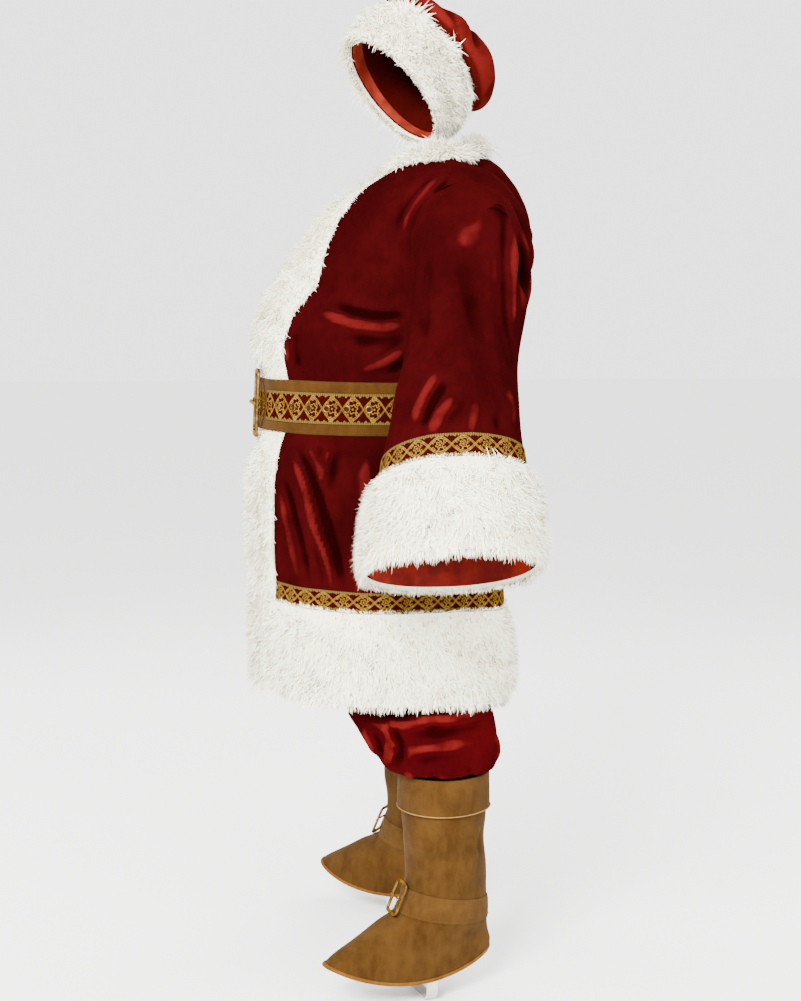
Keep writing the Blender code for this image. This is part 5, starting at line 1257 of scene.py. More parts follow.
# %% [markdown]
# ## The belt
# The belt is a 100 mm wide suede strap with a woven braid along its middle and a brass eyelet about
# every 50 mm. It is buckled in front: the buckle's frame lies on the strap, the prong crosses it, and
# the free end runs on round the wearer's right side. Along both edges runs a line of stitches.

# %% Strap, free end and braid
LAP_COLUMNS, FREE_END_COLUMNS, BELT_THICK = 2, 7, 0.004
BUCKLE_WIDTH, BUCKLE_HEIGHT, BUCKLE_BAR, BUCKLE_THICK = 0.098, 0.13, 0.01, 0.006
BUCKLE_CLEAR, PRONG_RADIUS = 0.0006, 0.0042
levels = [row_of(level) for level in (BELT_BOTTOM, BELT_BRAID_FROM, BELT_BRAID_TO, BELT_TOP)]
front_rows = front_left[levels]
points = np.concatenate([front_rows, back_whole[levels][:, 1:], mirrored(front_rows)[:, 1:]], 1)
ways = np.concatenate([front_out[levels], back_out[levels][:, 1:], mirrored(front_out[levels])[:, 1:]], 1)
under = np.zeros(points.shape[1])
under[:4] = FUR_DEPTH * 0.26 * np.array(BAND_SECTION)
under[-4:] = under[:4][::-1]
belt_in, belt_ways = (points + (under + SEAM_GAP)[None, :, None] * ways)[:, :-1], ways[:, :-1]
belt_out = belt_in + BELT_THICK * belt_ways
belt_columns = belt_in.shape[1]


def part_of(grid, order):
    return grid[:, order]


def soft_edge(rows, amount=0.55):
    """A strap's edges are thinner than its middle: 1 inside, falling off at the first and last row."""
    from_edge = np.minimum(np.arange(rows), np.arange(rows)[::-1])
    return (1 - amount * np.exp(-from_edge / 0.7))[:, None, None]


inner, inner_ways = fine(belt_in, belt_ways, 5, closed=True)
wave = crumple(inner, 0.09, 0.0005, 41)[..., None]
strap_face = inner + inner_ways * (BELT_THICK * soft_edge(len(inner)) + 0.5 * np.minimum(wave, 0))
add_wall("belt_strap", strap_face, inner, BELT_SUEDE, closed=True)

order = list(range(LAP_COLUMNS - 1, belt_columns - FREE_END_COLUMNS + 1))
lying, lying_ways = (g[:, 2:] for g in fine(part_of(belt_out, order)[1:3], part_of(belt_ways, order)[1:3], 5))
add_braid("belt_braid", lying, lying_ways, BELT_BRAID, 0.03)
flat_size(lying)

order = list(range(belt_columns - FREE_END_COLUMNS + 1, belt_columns)) + list(range(LAP_COLUMNS))
lap_in = belt_out[:, order] + SEAM_GAP * belt_ways[:, order]
lap_out = lap_in + SUEDE * belt_ways[:, order]
for grid in (lap_in, lap_out):
    middle = (grid[0, 0] + grid[-1, 0]) / 2
    grid[[0, -1], 0] += 0.72 * (middle - grid[[0, -1], 0])
    grid[[1, 2], 0] += 0.8 * (middle - grid[[1, 2], 0])
tip_way = unit(lap_in[1:3, 0].mean(0) - lap_in[1:3, 1].mean(0))
lap_in[:, 0] += 0.02 * tip_way
lap_out[:, 0] += 0.02 * tip_way
free_in, free_out = refined(lap_in, 5, 6), refined(lap_out, 5, 6)
free_out = free_in + (free_out - free_in) * soft_edge(len(free_in))
add_wall("belt_free_end", free_out, free_in, BELT_SUEDE)
on_free = free_out[5:11, 9:]
add_wall("belt_free_end_braid", on_free + 0.0011 * unit(free_out - free_in)[5:11, 9:],
         on_free + 0.0001 * unit(free_out - free_in)[5:11, 9:], BELT_BRAID, replaces=["belt_free_end"],
         uv=braid_uv(on_free, 0.03))
print("belt round:", round(float(np.linalg.norm(np.diff(inner[7], axis=0), axis=1).sum()), 3), "m")

# %% [markdown]
# Stitches, eyelets and other small things that repeat are joined meshes: one small shape is built once
# as arrays of points and faces, then copied to every place with a turn of its own.

# %% Small shapes: turned rings, stitches, bars and swept tubes
def turned(profile, sides=20):
    """A closed ring turned about Z from a closed profile of (radius, height)."""
    angle = np.linspace(0, 2 * math.pi, sides, endpoint=False)
    rows = np.array([[[r * math.cos(a), r * math.sin(a), z] for a in angle] for r, z in profile])
    n, grid = len(profile), []
    for r in range(n):
        for c in range(sides):
            d, up = (c + 1) % sides, (r + 1) % n
            grid.append([r * sides + c, r * sides + d, up * sides + d, up * sides + c])
    return rows.reshape(-1, 3), np.array(grid)


def swept(path, radii, sides=8, closed=False, flat=1.0, up=(0, 0, 1)):
    """A tube along a path; flat makes its section an oval, wide across `up`."""
    path, up = np.asarray(path, float), np.array(up, float)
    radii = np.broadcast_to(np.asarray(radii, float), (len(path),))
    way = np.roll(path, -1, 0) - np.roll(path, 1, 0) if closed else np.gradient(path, axis=0)
    way = unit(way)
    side = unit(np.cross(way, up))
    top = np.cross(side, way)
    angle = np.linspace(0, 2 * math.pi, sides, endpoint=False)
    ring = (np.cos(angle)[None, :, None] * side[:, None] * flat + np.sin(angle)[None, :, None] * top[:, None])
    points = path[:, None] + ring * radii[:, None, None]
    n, faces = len(path), []
    for r in range(n if closed else n - 1):
        for c in range(sides):
            d, nxt = (c + 1) % sides, (r + 1) % n
            faces.append([r * sides + c, r * sides + d, nxt * sides + d, nxt * sides + c])
    faces = np.array(faces)
    if not closed:
        k = np.arange(sides // 2 - 1)
        caps = [np.stack([k + 1, k, sides - 1 - k, sides - 2 - k], 1)]
        last = (n - 1) * sides
        caps += [np.stack([last + k, last + k + 1, last + sides - 2 - k, last + sides - 1 - k], 1)]
        faces = np.concatenate([faces, *caps])
    return points.reshape(-1, 3), faces


def placed_at(shape, spot, way, along=(0, 0, 1)):
    """The shape moved to a spot, its Z turned to `way` and its X towards `along`."""
    points, faces = shape
    z = unit(np.asarray(way, float))
    x = unit(np.asarray(along, float) - z * (np.asarray(along, float) @ z))
    axes = np.stack([x, np.cross(z, x), z])
    return points @ axes + spot, faces


def stitches(line, ways, length=0.0032, gap=0.0014, radius=0.00042):
    """Short thread bars that lie along a line on a surface."""
    steps = np.concatenate([[0], np.cumsum(np.linalg.norm(np.diff(line, axis=0), axis=1))])
    parts = []
    for start in np.arange(0, steps[-1] - length, length + gap):
        at = np.linspace(start, start + length, 4)
        path = np.stack([np.interp(at, steps, line[:, i]) for i in range(3)], 1)
        out = np.array([np.interp(at.mean(), steps, ways[:, i]) for i in range(3)])
        path = path + out * np.array([-0.0001, 0.0004, 0.0004, -0.0001])[:, None]
        parts.append((*swept(path, radius, 4, up=out), None))
    return parts


def ring_line(grid, row):
    return np.concatenate([grid[row], grid[row, :1]])


parts = []
for row in (1, len(strap_face) - 2):
    parts += stitches(ring_line(strap_face, row), ring_line(inner_ways, row))
add_joined("belt_stitches", parts, THREAD)
EYELET = turned([(0.0075, 0.0), (0.0073, 0.0009), (0.0066, 0.0016), (0.0056, 0.0018), (0.0047, 0.0013),
                 (0.0042, 0.0005), (0.0042, 0.0)], 20)
# Inside each eyelet lies a dark disc: painted shadow standing for the hole through the strap.
HOLE = turned([(0.0043, 0.0), (0.0043, 0.0005), (0.0002, 0.0005), (0.0002, 0.0)], 12)
eyelets, hole_shadows = [], []
for place in range(LAP_COLUMNS, belt_columns - FREE_END_COLUMNS):
    corner = (belt_out + (SEAM_GAP + BRAID) * belt_ways)[1:3, [place, place + 1]]
    spot, way = corner.mean(axis=(0, 1)), unit(belt_ways[1:3, [place, place + 1]].mean(axis=(0, 1)))
    eyelets.append((*placed_at(EYELET, spot + way * 0.0004, way), None))
    hole_shadows.append((*placed_at(HOLE, spot + way * 0.0003, way), None))
for column in range(12, on_free.shape[1] - 4, 6):
    spot = on_free[2:4, column].mean(0)
    way = unit(free_out - free_in)[7, 9 + column]
    eyelets.append((*placed_at(EYELET, spot + way * 0.001, way), None))
    hole_shadows.append((*placed_at(HOLE, spot + way * 0.001, way), None))
add_joined("belt_eyelets", eyelets, BRASS,
           [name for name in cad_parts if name.startswith("belt_eyelet")])
# The discs' dark colour is painted shadow in the eyelet holes.
HOLE_SHADOW = plain_finish("eyelet shadow", (0.02, 0.008, 0.004), 0.9)
add_joined("belt_eyelet_hole_shadows", hole_shadows, HOLE_SHADOW)
print("eyelets:", len(eyelets))

# %% [markdown]
# The buckle is a rectangular brass frame. It is swept round a path with rounded corners, so that its
# bars have soft edges all round, and it leans back with the strap that it lies on.

# %% Buckles
def frame_path(width, height, bar, corner, each=6):
    """The middle line of a rectangular frame's bars, with rounded corners, in X and Z."""
    w, h, path = (width - bar) / 2, (height - bar) / 2, []
    for x, z, start in ((1, -1, -90), (1, 1, 0), (-1, 1, 90), (-1, -1, 180)):
        for a in np.radians(np.linspace(start, start + 90, each)):
            path.append([x * (w - corner) + corner * math.cos(a), 0, z * (h - corner) + corner * math.sin(a)])
    path = np.array(path)
    dense = [path[i] + (path[(i + 1) % len(path)] - path[i]) * t for i in range(len(path))
             for t in (0, 0.25, 0.5, 0.75)]
    return np.array(dense)


def bar_section(path, bar, thick):
    """A closed sweep with a rounded rectangular section, bar wide and thick deep."""
    way = unit(np.roll(path, -1, 0) - np.roll(path, 1, 0))
    side = unit(np.cross(way, np.array([0, 1.0, 0])))
    angle = np.linspace(0, 2 * math.pi, 16, endpoint=False)
    u, v = signed_power(np.cos(angle), 0.45) * bar / 2, signed_power(np.sin(angle), 0.45) * thick / 2
    points = path[:, None] + u[None, :, None] * side[:, None] + v[None, :, None] * np.array([0, 1.0, 0])
    n, sides, faces = len(path), 16, []
    for r in range(n):
        for c in range(sides):
            d, up = (c + 1) % sides, (r + 1) % n
            faces.append([r * sides + c, up * sides + c, up * sides + d, r * sides + d])
    return points.reshape(-1, 3), np.array(faces)


at_bar = np.array([[np.interp(BUCKLE_WIDTH / 2 - BUCKLE_BAR, row[:, 0], row[:, i]) for i in (1, 2)]
                   for row in lap_out[[0, -1]]])
(low_y, low_z), (top_y, top_z) = at_bar
lean = math.atan2(top_y - low_y, top_z - low_z)
buckle_height = (low_z + top_z) / 2
frame_y = (low_y + top_y) / 2 - BUCKLE_THICK / 2 - BUCKLE_CLEAR
outline = frame_path(BUCKLE_WIDTH, BUCKLE_HEIGHT, BUCKLE_BAR, 0.009)
points, faces = bar_section(outline, BUCKLE_BAR, BUCKLE_THICK)
turn = np.array([[1, 0, 0], [0, math.cos(-lean), -math.sin(-lean)], [0, math.sin(-lean), math.cos(-lean)]])
points = points @ turn.T + np.array([0, frame_y, buckle_height])
add_joined("belt_buckle_frame", [(points, faces, None)], BRASS, ["belt_buckle_frame"])
middle_y = min(np.interp(0, row[:, 0], row[:, 1]) for row in lap_out[[1, 2]])
prong_y = min(frame_y - BUCKLE_THICK / 2, middle_y) - SEAM_GAP - PRONG_RADIUS
x = np.linspace(-BUCKLE_WIDTH / 2 + 0.002, BUCKLE_WIDTH / 2 - 0.001, 14)
path = np.stack([x, np.full(14, prong_y) - 0.0006 * np.sin(np.linspace(0, math.pi, 14)),
                 np.full(14, buckle_height)], 1)
points, faces = swept(path, np.linspace(PRONG_RADIUS, PRONG_RADIUS * 0.62, 14), 12)
hinge_line = [[-BUCKLE_WIDTH / 2 + 0.005, frame_y, buckle_height + z] for z in np.linspace(-0.008, 0.008, 6)]
hinge = swept(np.array(hinge_line),
              0.005, 14, up=(0, 1, 0))
add_joined("belt_buckle_prong", [(points, faces, None), (*hinge, None)], BRASS, ["belt_buckle_prong"])
print("buckle at y", round(float(frame_y), 4), "lean", round(math.degrees(lean), 1), "degrees")

# %% [markdown]
# ## The trousers
# The legs are full and blouse over the tops of the boot covers: the cloth hangs down past the cover's
# edge, turns under and goes up inside it. The bagging makes one big overhanging fold with sharp
# S-shaped creases in front, where the knee pushes the cloth forward.

# %% Trouser legs
# z, x of the middle, half width, y of the front and of the back, how far the tube has opened
LEG_RINGS = [
    ("tucked end", 0.385, 0.212, 0.062, -0.1, 0.029, 0.0),
    ("inside the boot", 0.432, 0.212, 0.062, -0.1, 0.029, 0.0),
    ("under the blouse", 0.444, 0.21, 0.08, -0.122, 0.046, 0.0),
    ("blouse edge", 0.431, 0.207, 0.094, -0.139, 0.056, 0.0),
    ("blouse", 0.452, 0.197, 0.106, -0.16, 0.066, 0.0),
    ("blouse top", 0.49, 0.181, 0.114, -0.184, 0.068, 0.0),
    ("below the hem", 0.54, 0.16, 0.117, -0.208, 0.062, 0.0),
    ("knee", 0.61, 0.144, 0.116, -0.212, 0.058, 0.0),
    ("thigh", 0.72, 0.126, 0.118, -0.208, 0.062, 0.0),
    ("crotch", 0.8, 0.116, 0.1158, -0.21, 0.07, 0.0),
    ("above the crotch", 0.835, 0.112, 0.116, -0.215, 0.074, 0.55),
    ("seat", 0.9, 0.106, 0.114, -0.225, 0.078, 0.9),
    ("hip", 0.97, 0.102, 0.11, -0.225, 0.078, 1.0),
    ("waist", 1.04, 0.098, 0.106, -0.215, 0.076, 1.0)]
LEG_SIDES, HIP_SPREAD, RIGHT_LEG_BACK, WAISTBAND = 16, 0.208, 0.022, 0.04
LEG_FOLDS = [(100, 30, 0.5, 0.016, 0.008), (190, 40, 0.474, 0.015, 0.008), (285, 30, 0.503, 0.016, 0.006)]
LEFT_LEG = [
    ([(-0.181, 0.521), (-0.138, 0.529), (-0.11, 0.534), (-0.081, 0.538), (-0.067, 0.546), (-0.056, 0.538),
      (-0.038, 0.537), (-0.016, 0.545), (0.001, 0.543), (0.04, 0.555)], 0.006, 0.01),
    ([(-0.177, 0.541), (-0.139, 0.547), (-0.108, 0.553), (-0.08, 0.56), (-0.052, 0.56), (-0.015, 0.564),
      (0.022, 0.57)], 0.008, -0.012),
    ([(-0.17, 0.525), (-0.146, 0.514), (-0.139, 0.492), (-0.144, 0.472), (-0.147, 0.44)], 0.0055, 0.009),
    ([(-0.156, 0.524), (-0.129, 0.504), (-0.125, 0.48), (-0.132, 0.448)], 0.007, -0.008),
    ([(-0.188, 0.512), (-0.174, 0.488), (-0.16, 0.455)], 0.006, 0.007),
    ([(-0.176, 0.51), (-0.163, 0.488), (-0.152, 0.455)], 0.0055, -0.006),
    ([(-0.117, 0.479), (-0.081, 0.488), (-0.006, 0.496)], 0.012, 0.006),
    ([(-0.117, 0.462), (-0.071, 0.471), (0.004, 0.477)], 0.013, -0.005),
    ([(-0.09, 0.52), (-0.03, 0.512), (0.04, 0.52)], 0.013, -0.004),
    ([(-0.072, 0.446), (-0.066, 0.43), (-0.06, 0.42)], 0.006, -0.005),
    ([(-0.114, 0.446), (-0.104, 0.422)], 0.007, 0.004),
    ([(0.000, 0.452), (0.004, 0.426)], 0.008, -0.004),
    ([(0.05, 0.5), (0.062, 0.47), (0.054, 0.44)], 0.008, 0.006)]
RIGHT_LEG = [
    ([(-0.17, 0.526), (-0.12, 0.536), (-0.07, 0.536), (-0.03, 0.548), (0.03, 0.546)], 0.007, 0.009),
    ([(-0.166, 0.546), (-0.11, 0.555), (-0.06, 0.556), (0.01, 0.566)], 0.009, -0.01),
    ([(-0.16, 0.52), (-0.136, 0.506), (-0.132, 0.48), (-0.136, 0.44)], 0.006, 0.008),
    ([(-0.148, 0.52), (-0.12, 0.5), (-0.118, 0.47), (-0.122, 0.444)], 0.0075, -0.007),
    ([(-0.1, 0.486), (-0.05, 0.494), (0.02, 0.49)], 0.012, 0.006),
    ([(-0.09, 0.466), (-0.04, 0.474), (0.02, 0.47)], 0.012, -0.005),
    ([(0.06, 0.51), (0.074, 0.474), (0.066, 0.44)], 0.008, 0.006)]
FACING_FRONT = [
    ([(0.06, 0.52), (0.12, 0.53), (0.18, 0.515)], 0.012, 0.006),
    ([(0.07, 0.49), (0.14, 0.48), (0.2, 0.5)], 0.013, -0.006),
    ([(0.09, 0.56), (0.14, 0.6), (0.16, 0.68)], 0.016, 0.006),
    ([(0.12, 0.462), (0.15, 0.44)], 0.007, 0.005)]


def leg_grid():
    rows = []
    for _, z, x_mid, half_width, y_front, y_back, opened in LEG_RINGS:
        y_mid, half_depth, row = (y_front + y_back) / 2, (y_back - y_front) / 2, []
        for k in range(LEG_SIDES + 1):
            angle = 2 * math.pi * k / LEG_SIDES
            around = math.degrees(angle)
            out = sum(high * math.exp(-((around - a) / w) ** 2 - ((z - zf) / zw) ** 2)
                      for a, w, zf, zw, high in LEG_FOLDS)
            tube = np.array([x_mid - (half_width + out) * math.cos(angle),
                             y_mid - (half_depth + out) * math.sin(angle), z])
            hip = np.array([HIP_SPREAD * math.sin(angle / 2), y_mid - half_depth * math.cos(angle / 2), z])
            point = tube + opened * (hip - tube)
            point[0] = max(point[0], SEAM_GAP / 2)
            row.append(point)
        rows.append(row)
    return np.array(rows)


def shifted_leg(grid, back):
    """Its lower part moved back, fading out under the coat's hem."""
    return grid + back * smooth((0.562 - grid[..., 2]) / 0.12)[..., None] * np.array([0, 1, 0])


leg = leg_grid()
leg_out = normals_of(leg)
joined = sum(row[-1] == 0 for row in LEG_RINGS)
leg_out[:joined, [0, -1]] = unit(leg_out[:joined, 0] + leg_out[:joined, -1])[:, None]
leg_out[joined:, [0, -1]] = unit(leg_out[joined:, [0, -1]] * np.array([0.15, 1, 1]))
leg_fine, leg_ways = fine(leg, leg_out, 6)
leg_fine[..., 0] = np.maximum(leg_fine[..., 0], SEAM_GAP / 2)
flat_size(leg_fine)
flat_size(leg_fine)
shown = smooth((leg_fine[..., 2] - 0.42) / 0.015) * (np.arange(len(leg_fine)) > 2.6 * 6)[:, None]


def creased_leg(lines, seed):
    outside, ahead = smooth((leg_ways[..., 0] + 0.15) / 0.4), smooth((-leg_ways[..., 1] - 0.4) / 0.3)
    lift = outside * crease_lift(leg_fine, lines)
    lift = lift + ahead * (1 - outside) * crease_lift(leg_fine, FACING_FRONT, (0, 2))
    lift += (1 - outside) * (1 - ahead) * crease_lift(leg_fine, RIGHT_LEG) * 0.7
    lift += crumple(leg_fine, 0.1, 0.002, seed)
    inside_seam = smooth(leg_fine[..., 0] / 0.02)
    high = 1 - 0.7 * smooth((leg_fine[..., 2] - 0.6) / 0.08)
    return leg_fine + leg_ways * (lift * shown * inside_seam * high)[..., None]


def leg_wall(name, grid, ways):
    inner = grid - VELVET * ways
    sign = 1 if name.endswith("left") else -1
    inner[..., 0] = sign * np.maximum(sign * inner[..., 0], SEAM_GAP / 2)
    add_wall(name, grid, inner, TROUSER_VELVET)


leg_wall("trousers_left", creased_leg(LEFT_LEG, 51), leg_ways)
right_leg = shifted_leg(creased_leg(RIGHT_LEG, 52), RIGHT_LEG_BACK)
leg_wall("trousers_right", mirrored(right_leg), mirrored(leg_ways))
whole = np.concatenate([leg[-1:], mirrored(leg[-1:])[:, 1:]], axis=1)
waist_ways = np.concatenate([leg_out[-1:], mirrored(leg_out[-1:])[:, 1:]], axis=1)
waist_ways = np.repeat(unit(waist_ways * np.array([1, 1, 0])), 2, axis=0)[:, :-1]
waist = np.concatenate([whole + np.array([0, 0, z]) for z in (SEAM_GAP, WAISTBAND)])[:, :-1]
waist_fine, waist_fine_ways = fine(waist, waist_ways, 6, closed=True)
flat_size(waist_fine, True)
gather = 0.0012 * np.sin(np.linspace(0, 2 * math.pi * 46, waist_fine.shape[1], endpoint=False))
bulge = np.sin(np.linspace(0, math.pi, len(waist_fine)))[:, None]
band = waist_fine - waist_fine_ways * (np.maximum(gather, -0.001) * bulge + 0.0004)[..., None]
add_wall("trousers_waistband", band, waist_fine - 2 * VELVET * waist_fine_ways, TROUSER_VELVET,
         closed=True)

# %% [markdown]
# ## The boot covers
# A boot cover is a suede tube over a plain shoe, with a turned cuff, an ankle strap with a small brass
# buckle, a bound lower edge, and an elastic under the foot that keeps it down. The suede wrinkles above
# the strap and behind the ankle. The feet turn out, the right one more than the left.

# %% Boot covers
# y and z of the front point, y and z of the back point, half width, how much lower the sides lie
BOOT_RINGS = [
    ("bottom edge", -0.276, 0.08, 0.058, 0.072, 0.056, 0.036),
    ("over the toe", -0.262, 0.091, 0.06, 0.086, 0.056, 0.026),
    ("vamp", -0.218, 0.116, 0.057, 0.104, 0.055, 0.018),
    ("instep", -0.17, 0.145, 0.053, 0.122, 0.056, 0.012),
    ("strap bottom", -0.13, 0.165, 0.051, 0.137, 0.06, 0.004),
    ("strap top", -0.111, 0.208, 0.049, 0.18, 0.066, 0.0),
    ("shaft low", -0.108, 0.255, 0.046, 0.24, 0.07, 0.0),
    ("shaft middle", -0.112, 0.3, 0.043, 0.295, 0.074, 0.0),
    ("cuff bottom", -0.115, 0.358, 0.046, 0.358, 0.078, 0.0),
    ("top", -0.117, 0.424, 0.048, 0.424, 0.08, 0.0)]
BOOT_SIDES, TOE_OUT, ANKLE_X, ANKLE_Y = 18, {"left": 14, "right": 34}, 0.212, -0.035
CUFF_FLARE, CUFF_FOLD, STRAP_THICK, SHOE_RISE = 0.007, 0.003, 0.003, 0.004
BINDING_WIDTH, BINDING_THICK, BOOT_EACH = 0.007, 0.0016, 6
BOOT_CREASES = [
    ([(0.026, 0.33), (0.014, 0.3), (0.016, 0.281), (0.028, 0.27)], 0.006, 0.006),
    ([(0.034, 0.318), (0.026, 0.29), (0.034, 0.268)], 0.006, -0.006),
    ([(-0.106, 0.233), (-0.068, 0.222), (-0.022, 0.216)], 0.007, 0.004),
    ([(-0.1, 0.246), (-0.06, 0.236), (-0.01, 0.236)], 0.008, -0.004),
    ([(-0.102, 0.303), (-0.069, 0.294), (-0.031, 0.298)], 0.012, 0.004),
    ([(-0.09, 0.276), (-0.04, 0.268), (0.01, 0.276)], 0.012, -0.004),
    ([(-0.06, 0.34), (-0.02, 0.325), (0.03, 0.335)], 0.013, 0.003),
    ([(-0.15, 0.15), (-0.106, 0.14), (-0.06, 0.132)], 0.01, -0.003),
    ([(-0.2, 0.11), (-0.14, 0.104), (-0.08, 0.096)], 0.014, 0.003),
    ([(0.01, 0.118), (0.04, 0.108), (0.056, 0.112)], 0.009, -0.003)]


def boot_grid(toe_out):
    rows, turn = [], math.radians(toe_out)
    for _, y_toe, z_toe, y_heel, z_heel, half_width, drop in BOOT_RINGS:
        angle = 2 * math.pi * np.arange(BOOT_SIDES) / BOOT_SIDES
        forward, across = -np.cos(angle), -np.sin(angle)
        share = (1 + forward) / 2
        width = half_width * (1 + 0.16 * forward * min(1.0, (y_heel - y_toe) / 0.3))
        y, z = y_heel + (y_toe - y_heel) * share, z_heel + (z_toe - z_heel) * share - drop * across * across
        rows.append(np.stack([width * across, y, z], axis=1))
    grid = np.array(rows)
    x, y = grid[..., 0], grid[..., 1] - ANKLE_Y
    return np.stack([ANKLE_X + x * math.cos(turn) - y * math.sin(turn),
                     ANKLE_Y + x * math.sin(turn) + y * math.cos(turn), grid[..., 2]], axis=-1)


def on_foot(grid, side):
    return grid if side == "left" else mirrored(grid) + np.array([0, RIGHT_LEG_BACK, 0])


def add_boot(side):
    coarse = boot_grid(TOE_OUT[side])
    coarse_out = normals_of(coarse, True)
    grid, out = fine(coarse, coarse_out, BOOT_EACH, closed=True)
    lift = crease_lift(grid, BOOT_CREASES) + crumple(grid, 0.07, 0.0012, 61 if side == "left" else 62)
    rows = np.arange(len(grid))[:, None] / BOOT_EACH
    calm = smooth((rows - 0.1) / 0.8) * (1 - smooth((rows - 3.6) / 0.4) * (1 - smooth((rows - 5.2) / 0.5)))
    calm = calm * (1 - smooth((rows - 7.2) / 0.6))
    body = grid + out * (np.clip(lift, -0.006, 0.007) * calm)[..., None]

    def tube(name, outer, inner, finish, node=None):
        outer, inner = on_foot(outer, side), on_foot(inner, side)
        name = f"{name}_{side}"
        add_wall(name, outer, inner, finish, closed=True,
                 replaces=[f"{node}_{side}"] if node else None)

    tube("boot_upper", body, body - SUEDE * out, BOOT_SUEDE)
    cuff = slice(8 * BOOT_EACH, 9 * BOOT_EACH + 1)
    share = np.linspace(0, 1, BOOT_EACH + 1)[:, None, None]
    flare = CUFF_FLARE + (CUFF_FOLD - CUFF_FLARE) * share
    sway = 0.0012 * np.sin(np.linspace(0, 2 * math.pi * 5, grid.shape[1], endpoint=False))[None, :, None]
    base = grid[cuff] + SEAM_GAP * out[cuff]
    face = base + (flare + np.minimum(sway, 0) * (1 - share)) * out[cuff]
    tube("boot_cuff", face, base + (flare - CUFF_FOLD) * 0.85 * out[cuff], BOOT_SUEDE)
    strap = slice(4 * BOOT_EACH, 5 * BOOT_EACH + 1)
    base = grid[strap] + SEAM_GAP * out[strap]
    face = base + STRAP_THICK * soft_edge(BOOT_EACH + 1, 0.4) * out[strap]
    tube("boot_strap", face, base, LIT_STRAP_SUEDE)
    rim = grid[0] + 2 * SEAM_GAP * out[0]
    rise = unit(grid[3] - grid[0])
    edge = np.array([rim + rise * BINDING_WIDTH * s for s in np.linspace(0, 1, 7)])
    bulge = (0.35 + 0.65 * np.sin(np.linspace(0.0, math.pi, 7)))[:, None, None]
    tube("boot_binding", edge + BINDING_THICK * bulge * out[0], edge, BINDING)
    # A thin tube along the turned cuff's lower edge; its light colour is a painted highlight on that edge.
    cuff_face = on_foot(grid[cuff] + (SEAM_GAP + flare) * out[cuff], side)
    cut = ring_line(cuff_face, 0)[:-1]
    add_joined(f"boot_cuff_edge_{side}", [(*swept(cut, 0.0011, 6, closed=True), None)], CUFF_EDGE_HIGHLIGHT)
    parts = []
    for row in (1, BOOT_EACH - 1):
        strap_line = on_foot(face, side)
        strap_ways = ring_line(on_foot_ways(out[strap], side), row)
        parts += stitches(ring_line(strap_line, row), strap_ways, 0.003, 0.0016, 0.00035)
    add_joined(f"boot_strap_stitches_{side}", parts, THREAD)
    add_boot_elastic(side, coarse)
    add_boot_buckle(side, coarse[4:6] + (SEAM_GAP + STRAP_THICK) * coarse_out[4:6])


def on_foot_ways(ways, side):
    return ways if side == "left" else mirrored(ways)


def add_boot_elastic(side, grid):
    """A U-shaped band from one side of the cover's edge to the other, under the foot."""
    edge, across = grid[0], [BOOT_SIDES // 4, BOOT_SIDES - BOOT_SIDES // 4]
    ends = [edge[across[0]], edge[across[1]]]
    middle = (ends[0] + ends[1]) / 2 * np.array([1, 1, 0])
    ahead = unit(edge[BOOT_SIDES // 2] - edge[0]) * np.array([1, 1, 0])
    reach = unit((ends[1] - ends[0]) * np.array([1, 1, 0]))
    half = np.linalg.norm((ends[1] - ends[0])[:2]) / 2 - SEAM_GAP
    top = min(ends[0][2], ends[1][2]) - SEAM_GAP
    profile = [(-half, top), (-half, 0.03), (-half + 0.0005, 0.016), (-half + 0.01, SHOE_RISE), (-half / 2, SHOE_RISE),
               (half / 2, SHOE_RISE), (half - 0.01, SHOE_RISE), (half - 0.0005, 0.016), (half, 0.03), (half, top)]
    walls = []
    for offset in (0.0, 0.0014):
        rows = [[middle + ahead * width + reach * (u - math.copysign(offset, u))
                 + np.array([0, 0, z + offset * (z < 0.01)]) for u, z in profile]
                for width in np.linspace(0.011, -0.011, 7)]
        walls.append(np.array(rows))
    inner, outer = (on_foot(g, side) for g in walls)
    add_wall(f"boot_elastic_{side}", outer, inner, ELASTIC)


def add_boot_buckle(side, face):
    """A small brass frame on the front of the ankle strap, with its prong and a roller."""
    face = on_foot(face, side)
    toe = BOOT_SIDES // 2 if side == "left" else BOOT_SIDES - 1 - BOOT_SIDES // 2
    spot, up = face[:, toe].mean(axis=0), face[1, toe] - face[0, toe]
    sideways = face[0, (toe + 1) % BOOT_SIDES] - face[0, toe - 1]
    out = unit(np.cross(sideways, up))
    x, y = unit(sideways), -out
    axes = np.stack([x, y, np.cross(x, y)])
    points, faces = bar_section(frame_path(0.046, 0.066, 0.006, 0.006), 0.006, 0.0045)
    prong = swept(np.array([[u, -0.003, 0.0] for u in np.linspace(-0.02, 0.0205, 8)]),
                  np.linspace(0.0021, 0.0014, 8), 8)
    roller = swept(np.array([[-0.02, 0.0, z] for z in np.linspace(-0.024, 0.024, 10)]), 0.003, 10, up=(0, 1, 0))
    parts = [(p @ axes + spot + out * 0.0068, f, None) for p, f in ((points, faces), prong, roller)]
    add_joined(f"boot_buckle_{side}", parts, BRASS, [f"boot_buckle_{side}"])


# Light suede colour for the cuff's edge tube: a painted highlight.
CUFF_EDGE_HIGHLIGHT = suede("suede cuff edge highlight", (0.11, 0.055, 0.016), (0.19, 0.105, 0.036), (0.24, 0.14, 0.055))
for side in ("left", "right"):
    add_boot(side)
print("boot covers:", [name for name in MADE if name.startswith("boot_upper")])

# %% [markdown]
# ## The hat
# The hat sits far back: its fur brim runs from high on the forehead down to the nape. The soft velvet
# crown rises out of the brim, slumps back and folds over to the wearer's right, where its short tail
# hangs down and ends in a point. The rings are tilted and moved step by step to give that slump.

